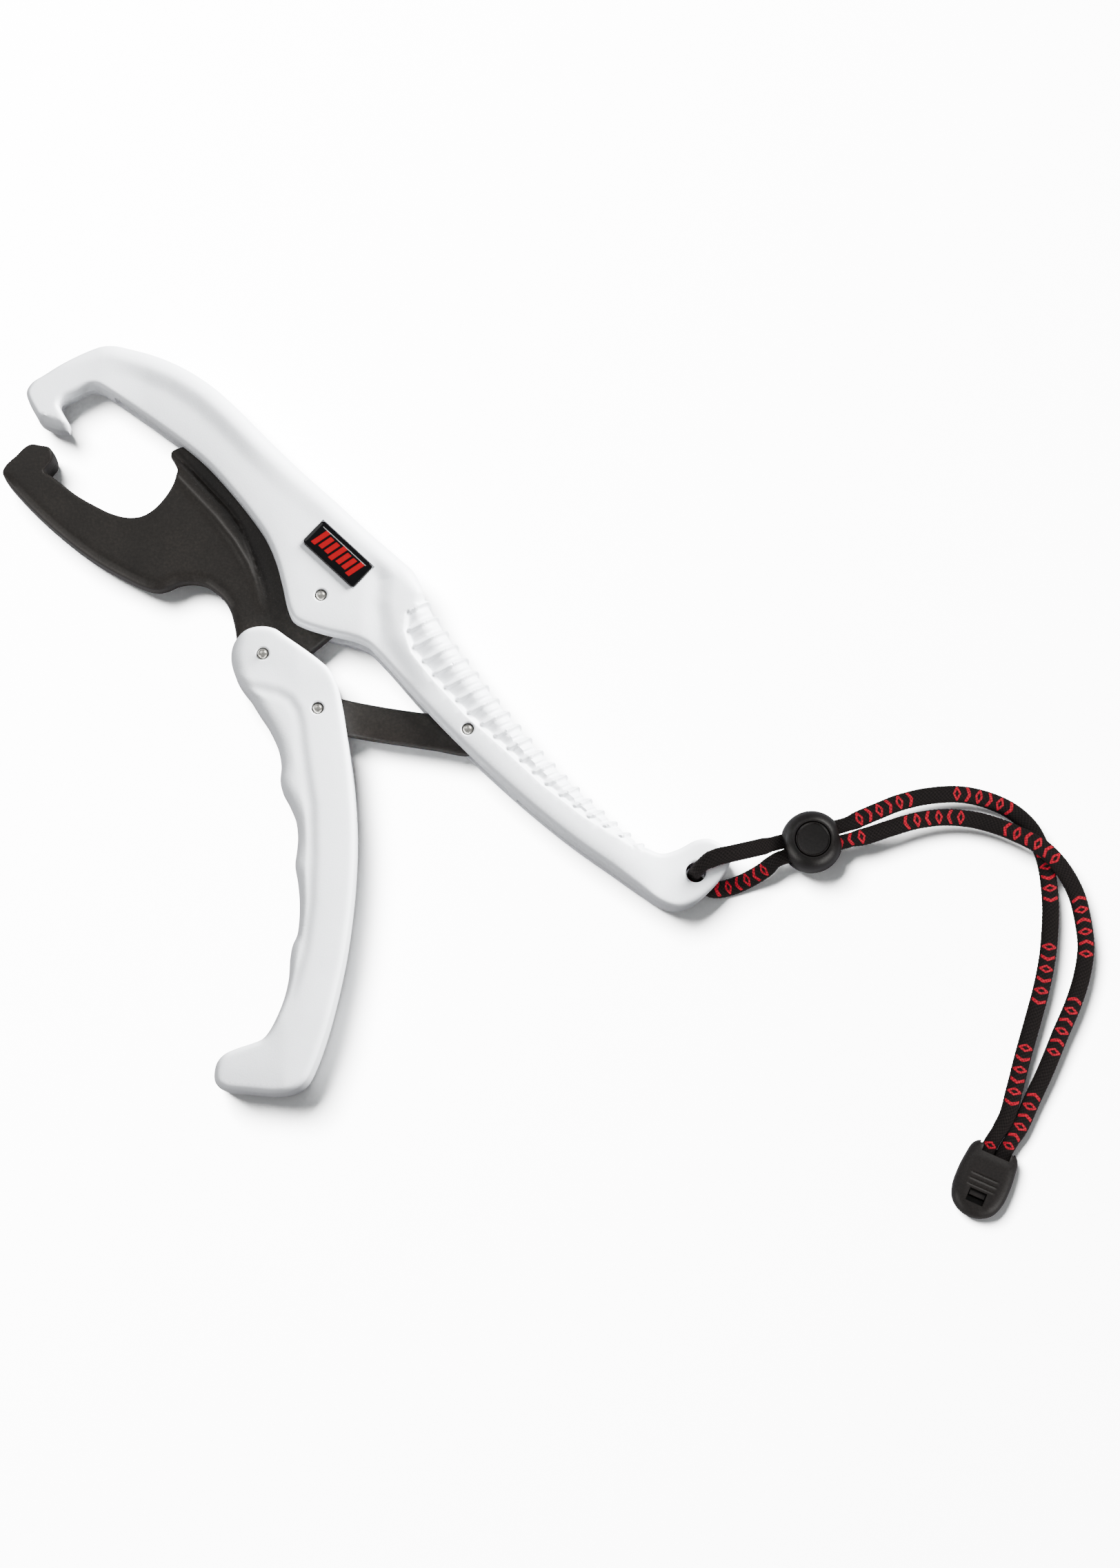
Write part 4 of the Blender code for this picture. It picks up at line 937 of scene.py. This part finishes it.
# -------------------------------------------------------------------- link bar
def link_height(points, edge):
    """Low roof about the middle line, flat around both bores."""
    side = side_dist(points, LINK_MID)
    z = PLATE - 0.11 * np.clip(side, 0, 8) - 0.05 * np.clip(-side, 0, 8)
    z -= 0.06 * bell(side, 0.7)
    for centre in (LINK_FRONT, LINK_REAR):
        z = z + (PLATE - z) * (1 - rise(radius_from(points, centre), 4.2, 6.0))
    return z - rim(edge, 0.6, 0.6)


def build_link():
    bar = new_object("link_bar_skin", *relief(smooth_loop(LINK, 0.6), link_height, grid=0.9))
    cut(bar, [bore(LINK_FRONT, 2.35), bore(LINK_REAR)])
    dress(bar, BLACK, "link", "link_bar")


# ------------------------------------------------------------------------ pins
PIN_TOP = 8.32
# Half profile: (radius, depth below the top).
PIN_PROFILE = ((0, 0), (0.35, 0.03), (0.7, 0.12), (1.0, 0.28), (1.22, 0.5), (1.36, 0.85),
               (1.4, 1.3), (1.52, 1.5))


def build_pins():
    upper = [(radius, PIN_TOP - depth) for radius, depth in PIN_PROFILE]
    profile = upper + [(radius, -z) for radius, z in reversed(upper)]
    for name, centre, owner in (("jaw_pivot_pin", JAW_PIVOT, "body"),
                                ("lever_pivot_pin", LEVER_PIVOT, "lever"),
                                ("link_front_pin", LINK_FRONT, "lever"),
                                ("link_rear_pin", LINK_REAR, "body")):
        pin = turned(name + "_skin", profile, centre, sides=48)
        dress(pin, PIN, owner, name, 40)


# ----------------------------------------------------------------------- badge
def badge_mark(x, y):
    """Row of slanted bars of varying height, positive inside."""
    pitch = 2.05
    slanted = x - 0.22 * y
    k = np.round(slanted / pitch)
    bars = 0.70 - np.abs(slanted - k * pitch)
    tall = 1.75 + 0.75 * np.cos(k * 1.05) ** 2
    bars = np.minimum(bars, tall - np.abs(y - 0.05))
    return np.minimum(bars, 7.4 - np.abs(slanted))


def build_badge_plate():
    shape = relief(dense(round_rect(18.2, 7.9, 1.0), 0.5),
                   lambda points, edge: 0.30 - rim(edge, 0.1, 0.1),
                   rings=(0.05, 0.1, 0.3), grid=1.2, wall=FLAT_WALL)
    plate = new_object("badge_plate_skin", *shape, ((*BADGE_C, 8.25), BADGE_ANGLE))
    add_field(plate, "mark", np.full(len(plate.data.vertices), -1.0))
    dress(plate, BADGE_MAT, "body", "badge_plate")


def build_badge_dome():
    centre = (*BADGE_C, 8.95)
    shape = relief(dense(round_rect(18.1, 7.8, 0.9), 0.3),
                   lambda points, edge: 0.35 - rim(edge, 1.7, 0.32),
                   rings=(0.03, 0.07, 0.13, 0.2, 0.3, 0.42, 0.56, 0.72, 0.9), grid=0.2,
                   wall=((0.5, 0.02),))
    dome = new_object("badge_dome_skin", *shape, (centre, BADGE_ANGLE))
    local = np.array([v.co for v in dome.data.vertices]) / MM - OFFSET - np.array(centre)
    mark = badge_mark(*turn(local[:, 0], local[:, 1], -BADGE_ANGLE))
    add_field(dome, "mark", np.where(local[:, 2] > 0.1, mark, -1.0))
    dress(dome, BADGE_MAT, "body", "badge_dome", 50)
    return dome


# ---------------------------------------------------------- cores and strips
def build_pocket_bars():
    for part, pocket, owner, core, strip in (
            ("handle", HANDLE_POCKET, "body", (2.9, 7.3), (0.9, 2.6)),
            ("lever", LEVER_POCKET, "lever", (2.9, 6.3), (0.6, 2.6))):
        dress(pocket_bar(part + "_core_skin", pocket, *core), FOAM, owner,
              part + "_float_core")
        dress(pocket_bar(part + "_strip_skin", pocket, *strip), STRIP, owner,
              part + "_slot_strip")


# ---------------------------------------------------------------- lanyard cord
def lock_point(along, across, z=CORD_LOCK_Z):
    return (*turn(along, across, LOCK_DIR, LOCK_C), z)


def end_point(x, y, z=END_Z):
    return (*turn(x, y, END_ANGLE, END_C), z)


CORD_ON_FLOOR = -FACE + 1.25
STRAND = 2.1              # each strand's distance from the middle of the lock
LOCK_STATIONS = (10.2, 3.0, -3.5, -9.6)
# Middle line (x, y, z): cord end, loop, lock, eye, and back again.
CORD_PATH = [
    end_point(-1.95, 2.2), end_point(-1.95, 6.0), end_point(-1.9, 9.8),
    (177.7, -135.4, -4.6), (179.9, -127.9, -4.0), (182.3, -119.0, -3.5), (184.8, -110.5, -3.1),
    (187.2, -102.1, -2.8), (188.9, -94.1, -2.6), (189.8, -86.0, -2.6), (190.0, -78.8, -2.6),
    (189.3, -71.0, -2.6), (187.6, -64.5, -2.6), (185.0, -59.6, -2.6), (180.3, -55.4, -2.5),
    (173.9, -52.5, -2.3), (166.6, -51.1, -2.0), (158.5, -51.6, -1.8), (151.3, -53.3, -1.5),
    (146.0, -55.4, -1.2), (141.4, -57.4, -0.8),
    *[lock_point(along, STRAND) for along in LOCK_STATIONS],
    (113.9, -65.7, 1.9), (110.2, -66.9, 4.6), (106.6, -68.0, 6.8), (103.0, -68.9, 7.5),
    (99.8, -70.4, 7.3), (97.8, -72.2, 5.8), (97.2, -72.9, 2.6), (97.2, -72.8, -2.4),
    (97.7, -73.1, -5.6), (99.9, -74.6, -7.2), (103.4, -75.6, CORD_ON_FLOOR),
    (107.6, -74.7, CORD_ON_FLOOR), (111.6, -73.1, -5.9), (115.6, -71.0, -3.2),
    *[lock_point(along, -STRAND) for along in reversed(LOCK_STATIONS)],
    (142.8, -62.1, -0.8), (148.5, -60.2, -1.2), (155.6, -58.1, -1.6), (162.9, -57.2, -1.9),
    (170.0, -57.8, -1.8), (176.2, -59.6, -0.9), (181.5, -62.0, 0.25), (186.5, -64.6, 0.45),
    (190.5, -67.8, -0.35), (194.1, -72.1, -1.6), (196.9, -77.7, -2.3), (198.4, -84.3, -2.6),
    (199.0, -91.4, -2.7), (197.8, -98.7, -2.8), (195.4, -106.0, -3.0), (191.8, -114.1, -3.3),
    (188.1, -122.9, -3.8), (184.3, -130.9, -4.3), (181.4, -137.2, -4.7),
    end_point(2.3, 9.8), end_point(2.25, 6.0), end_point(2.25, 2.2),
]
CORD_SIDES = 30


def cord_line(step, count=40):
    """Evenly spaced (points, run length, position counted in CORD_PATH stations)."""
    knots = np.asarray(CORD_PATH, float)
    padded = [2 * knots[0] - knots[1], *knots, 2 * knots[-1] - knots[-2]]
    points = np.array(spline(padded, count))
    last = len(knots) - 1
    station = [i + k / count for i in range(last) for k in range(count)] + [float(last)]
    run = np.concatenate([[0], np.cumsum(np.linalg.norm(np.diff(points, axis=0), axis=1))])
    wanted = np.append(np.arange(0, run[-1], step), run[-1])
    return resample(points, run, wanted), wanted, np.interp(wanted, run, station)


def cord_sides(tangents):
    """Direction of the cord's flat side, carried along where the cord stands upright."""
    pull = 0.12           # share by which it returns to level at each point
    out = []
    for tangent in tangents:
        level = np.array([tangent[1], -tangent[0], 0.0])
        if not out:
            out.append(level / np.linalg.norm(level))
            continue
        last = out[-1]
        side = last - tangent * (last @ tangent)
        side /= np.linalg.norm(side)
        if np.hypot(tangent[0], tangent[1]) > 0.35:
            level /= np.linalg.norm(level)
            if level @ last < 0:
                level = -level
            side = side * (1 - pull) + level * pull
            side -= tangent * (side @ tangent)
            side /= np.linalg.norm(side)
        out.append(side)
    return np.array(out)


def smooth_series(values, window=9):
    padded = np.concatenate([np.full(window, values[0]), values, np.full(window, values[-1])])
    return np.convolve(padded, np.ones(window) / window, 'same')[window:-window]


def cord_pattern(run, phi):
    """Groups of chevrons and hollow diamonds along the cord, positive inside."""
    period, group, cell = 27.0, 17.4, 2.9
    place = (run + 9.0) % period
    across = np.cos(phi)
    from_mid = np.abs(place % cell - cell / 2)
    chevron = 0.42 - np.abs(place % cell - cell / 2 - 0.8 * (np.abs(across) / 0.8 - 0.5))
    diamond = 1.05 - from_mid - np.abs(across) * 1.05
    hollow = np.minimum(diamond, 0.58 - diamond)
    field = np.where(np.floor(place / cell) % 2 < 1, chevron, hollow)
    field = np.minimum(field, (0.82 - np.abs(across)) * 2.0)
    return np.where(place < group, field, -1.0)


def build_cord():
    path, run, station = cord_line(step=0.24)
    tangents = np.gradient(path, axis=0)
    tangents /= np.linalg.norm(tangents, axis=1)[:, None]
    side = cord_sides(tangents)
    normal = np.cross(side, tangents)
    x, y = (path[:, :2] - np.array(LOCK_C)).T
    along, across = turn(x, y, -LOCK_DIR)
    # narrower in the lock, the cord end and the eye
    in_lock = (np.abs(along) < 11.5) & (np.abs(across) < 6)
    in_eye = (radius_from(path, LANYARD_EYE) < 4.0) & (np.abs(path[:, 2]) < 7.4)
    width = np.where(in_lock, 3.8, 4.4)
    width = np.where((station < 2.6) | (station > len(CORD_PATH) - 3.6), 3.9, width)
    width = smooth_series(np.where(in_eye, 3.6, width))
    thick = smooth_series(np.where(in_eye, 2.6, 2.5))
    # super-ellipse section: flat faces, round edges, swollen by the twill
    angles = 2 * math.pi * (np.arange(CORD_SIDES) + 0.5) / CORD_SIDES
    length, phi = np.meshgrid(run, angles, indexing='ij')
    twill = np.sin(2 * math.pi * (length / 1.05 + phi * 11 / (2 * math.pi)))
    swell = 1 + 0.026 * twill
    wide = np.sign(np.cos(phi)) * np.abs(np.cos(phi)) ** 0.86 * (width / 2)[:, None] * swell
    high = np.sign(np.sin(phi)) * np.abs(np.sin(phi)) ** 0.80 * (thick / 2)[:, None] * swell
    verts = (path[:, None, :] + side[:, None, :] * wide[..., None]
             + normal[:, None, :] * high[..., None])
    rows = np.arange(phi.size).reshape(phi.shape).tolist()
    faces = []
    for this, following in zip(rows, rows[1:]):
        for k in range(CORD_SIDES):
            j = (k + 1) % CORD_SIDES
            faces.append((this[k], this[j], following[j], following[k]))
    faces += [tuple(reversed(rows[0])), tuple(rows[-1])]
    # pattern on the top side, on the other side where the cord turns over at the eye,
    # and none on the upper strand between the eye and the lock
    turned_over = (station > 24.0) & (station < 33.0)
    top_side = np.sin(phi) * np.sign(normal[:, 2])[:, None]
    shown = np.where(turned_over[:, None], -top_side, top_side) > 0.1
    plain = (along > -16) & (along < 7) & (across > 0) & (path[:, 2] > -3)
    mark = np.where(shown & ~plain[:, None], cord_pattern(length, phi), -1.0)
    cord = new_object("lanyard_cord_skin", verts.reshape(-1, 3), faces, merge=False)
    add_field(cord, "mark", mark)
    # the weave wave is also stored as a field for the painted shade in the grooves and painted
    # sheen on the crests of the cord's colour
    add_field(cord, "twill", 0.5 + 0.5 * twill)
    dress(cord, CORD_MAT, "lanyard", "lanyard_cord", 70)


# ------------------------------------------------------------------- cord lock
# Profiles are (radius, z).
BARREL_SIDE = [(4.82, 5.2), (5.1, 5.18), (5.55, 5.02), (6.3, 4.5), (7.1, 3.6), (7.8, 2.0),
               (8.1, -0.4), (7.85, -3.2), (6.9, -5.8), (5.4, -7.7), (4.5, -8.35), (3.8, -8.5)]
BARREL_HOLLOW = [(0, 8.0), (4.72, 8.0), (4.72, 3.9), (5.7, 3.7), (5.7, -5.0), (4.9, -6.6),
                 (4.2, -7.4), (0, -7.4)]
BUTTON = [(0, 5.02), (3.6, 5.04), (3.95, 5.1), (4.12, 5.3), (4.22, 5.42), (4.34, 5.42),
          (4.44, 5.28), (4.47, 5.05), (4.47, 3.7), (5.4, 3.4), (5.4, -3.3), (0, -3.3)]


def build_lock():
    side = [np.array(p) for p in BARREL_SIDE]
    profile = [(0, 5.2), *spline([side[0], *side, side[-1]], 4), (0, -8.5)]
    barrel = turned("lock_barrel_skin", profile, LOCK_C)
    # hollow, cord passage, and a flat at each end of the passage
    cut(barrel, [turned("cutter", BARREL_HOLLOW, LOCK_C),
                 slab((*LOCK_C, CORD_LOCK_Z), (20.0, 8.8, 3.8), LOCK_DIR),
                 *[slab(lock_point(along, 0.0, -1.5), (10.0, 22.0, 20.0), LOCK_DIR)
                   for along in (-12.1, 12.1)]])
    dress(barrel, LOCK_BLACK, "cord_lock", "cord_lock_barrel", 38)
    button = turned("lock_button_skin", BUTTON, LOCK_C)
    cut(button, [slab((*LOCK_C, 0.35), (20.0, 8.6, 4.9), LOCK_DIR)])
    dress(button, LOCK_BLACK, "lock_button", "cord_lock_button", 38)
    paint(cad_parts["cord_lock_spring"], SPRING)


# -------------------------------------------------------------------- cord end
COVER_TOP = 3.5           # half thickness


def cover_height(points, edge):
    x, y = points.T
    z = COVER_TOP - rim(edge, 3.3, 2.5)
    # three grip lines: a ridge beside a groove
    span = 1 - rise(np.abs(x + 0.2), 3.3, 4.2)
    for line in (1.15, -0.35, -1.85):
        z += span * (0.22 * bell(y - line - 0.22, 0.26) - 0.30 * bell(y - line + 0.24, 0.30))
    # dip around the window, then both ends eased
    window = np.hypot(np.maximum(np.abs(x + 0.3) - 2.4, 0), np.maximum(np.abs(y + 4.7) - 1.8, 0))
    z -= 0.22 * bell(window, 0.9)
    z -= 0.35 * rise(-y, 5.2, 8.6)
    z -= 0.25 * rise(y, 5.0, 6.9)
    return np.maximum(z, 0.9)


def build_cord_end():
    extra = [(x, y) for y in np.arange(-4.4, 3.2, 0.16) for x in np.arange(-5.0, 5.2, 0.5)]
    verts, faces = relief(smooth_loop(COVER, 0.5), cover_height, grid=0.6,
                          rings=(0.04, 0.14, 0.3, 0.5, 0.75, 1.05, 1.4), extra=extra)
    verts[:, 2] = np.clip(verts[:, 2], -COVER_TOP, COVER_TOP)
    cover = new_object("cord_end_cover_skin", verts, faces, ((*END_C, END_Z), END_ANGLE))
    # hollow, window, and notch at the cord's entry
    cut(cover, [slab(end_point(0.15, 3.2), (9.4, 16.4, 4.2), END_ANGLE),
                slab(end_point(-0.3, -4.7, END_Z + 3.0), (4.7, 3.4, 4.0), END_ANGLE),
                slab(end_point(0.15, 9.4, END_Z + 2.6), (7.6, 5.0, 3.2), END_ANGLE)])
    dress(cover, END_BLACK, "lanyard", "cord_end_cover", 38)
    paint(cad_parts["cord_end_insert"], END_BLACK)


build_body()
build_jaw()
build_lever()
build_link()
build_pins()
build_badge_plate()
dome = build_badge_dome()
build_pocket_bars()
build_cord()
build_lock()
build_cord_end()


# ------------------------------------------------------- studio, in metres
def build_floor():
    """Floor that looks bright but throws little light back."""
    mesh = bpy.data.meshes.new("floor")
    corners = ((-6, -6), (6, -6), (6, 6), (-6, 6))
    mesh.from_pydata([(x, y, -0.0001) for x, y in corners], [], [(0, 1, 2, 3)])
    plane = link_object("floor", mesh)
    material, tree, shader, coords = start_material("studio_floor")
    cloud = noise(tree, coords, scale=3.0, detail=2.0)
    seen = ramp(tree, cloud, [(0.3, (0.90, 0.90, 0.90)), (0.7, (0.93, 0.93, 0.93))])
    bounce = ramp(tree, cloud, [(0.3, (0.040, 0.040, 0.042)), (0.7, (0.046, 0.046, 0.048))])
    to_camera = add(tree, "LightPath").outputs["Is Camera Ray"]
    feed(tree, shader, {"Base Color": mix_colours(tree, to_camera, bounce, seen),
                        "Roughness": 0.95, "IOR": 1.02})
    mesh.materials.append(material)
    return plane


def build_sky():
    """Bright overhead, dim at the horizon."""
    world = bpy.data.worlds.new("studio")
    bpy.context.scene.world = world
    world.use_nodes = True
    tree = world.node_tree
    coords = add(tree, "TexCoord").outputs["Generated"]
    up = add(tree, "SeparateXYZ", {"Vector": coords}).outputs["Z"]
    strength = add(tree, "MapRange", {"From Min": 0.05, "From Max": 0.85, "To Min": 0.10,
                                      "To Max": 0.49, "Value": up}).outputs["Result"]
    feed(tree, tree.nodes["Background"], {"Strength": strength,
                                          "Color": (0.97, 0.985, 1.0, 1.0)})


def light_group(name, objects):
    group = bpy.data.collections.new(name)
    for obj in objects:
        group.objects.link(obj)
    return group


def area(name, place, target, size, watts, lit, colour=(1, 1, 1), long_axis=None):
    """Area light that lights only the group lit."""
    light = bpy.data.lights.new(name, 'AREA')
    light.shape = 'RECTANGLE'
    light.size, light.size_y = size
    light.energy = watts
    light.color = colour
    obj = link_object(name, light)
    obj.location = place
    obj.rotation_mode = 'QUATERNION'
    z = (Vector(place) - Vector(target)).normalized()
    if long_axis is None:
        obj.rotation_quaternion = (-z).to_track_quat('-Z', 'Y')
    else:
        x = Vector(long_axis)
        x = (x - z * x.dot(z)).normalized()
        obj.rotation_quaternion = Matrix((x, z.cross(x), z)).transposed().to_quaternion()
    obj.light_linking.receiver_collection = lit


def build_lights():
    meshes = [o for o in bpy.data.objects if o.type == 'MESH']
    pale = [o for o in meshes if o.data.materials
            and o.data.materials[0] in (WHITE, STRIP, FOAM)]
    dark = [o for o in meshes if o is not floor and o not in pale]
    on_floor = light_group("lit_floor", [floor])
    on_pale = light_group("lit_pale", pale)
    on_dark = light_group("lit_dark", dark)
    on_badge = light_group("lit_badge", [dome])
    area("floor_key", (-0.50, 0.49, 1.40), target=(0.05, -0.05, 0), size=(0.66, 0.66),
         watts=420.0, lit=on_floor)
    area("right_bank", (0.60, 0.50, 0.28), target=(0.05, -0.02, 0), size=(0.50, 0.32),
         watts=80.0, lit=on_pale, colour=(0.985, 0.995, 1.0))
    area("left_bank", (-0.70, 0.10, 0.40), target=(0.0, -0.03, 0), size=(0.4, 0.3),
         watts=2.0, lit=on_pale, colour=(0.98, 0.99, 1.0))
    area("top_bank", (0.02, 0.07, 1.0), target=(0.02, -0.05, 0), size=(0.4, 0.4),
         watts=3.0, lit=on_pale, colour=(0.96, 0.98, 1.0))
    area("dark_bank", (0.62, 0.56, 0.58), target=(0.0, 0.0, 0), size=(0.5, 0.35),
         watts=9.5, lit=on_dark, colour=(1.0, 0.985, 0.96))
    area("dark_left", (-0.5, 0.55, 0.85), target=(0.0, -0.03, 0), size=(0.6, 0.6),
         watts=3.0, lit=on_dark)
    area("low_left", (-0.62, -0.50, 0.22), target=(-0.02, 0.0, 0), size=(0.6, 0.2),
         watts=4.2, lit=on_dark, colour=(1.0, 0.97, 0.93))
    area("low_right", (0.50, -0.50, 0.20), target=(0.0, 0.0, 0), size=(0.5, 0.2),
         watts=3.0, lit=on_dark, colour=(1.0, 0.98, 0.95))
    area("badge_strip", (-0.0012, 0.235, 0.783), target=(-0.0026, 0.0003, 0.0178),
         size=(0.05, 0.03), watts=0.22, lit=on_badge, long_axis=(0.731, -0.682, 0.0))


def build_camera():
    camera = bpy.data.cameras.new("camera")
    camera.lens = 79.16
    camera.sensor_width = 36.0
    camera.clip_start, camera.clip_end = 0.01, 50.0
    obj = link_object("camera", camera)
    obj.location = (0.0554955, -0.2015201, 0.8971724)
    obj.rotation_euler = (math.radians(9.1), 0, 0)
    bpy.context.scene.camera = obj


floor = build_floor()
build_sky()
build_lights()
build_camera()

bpy.context.view_layer.update()
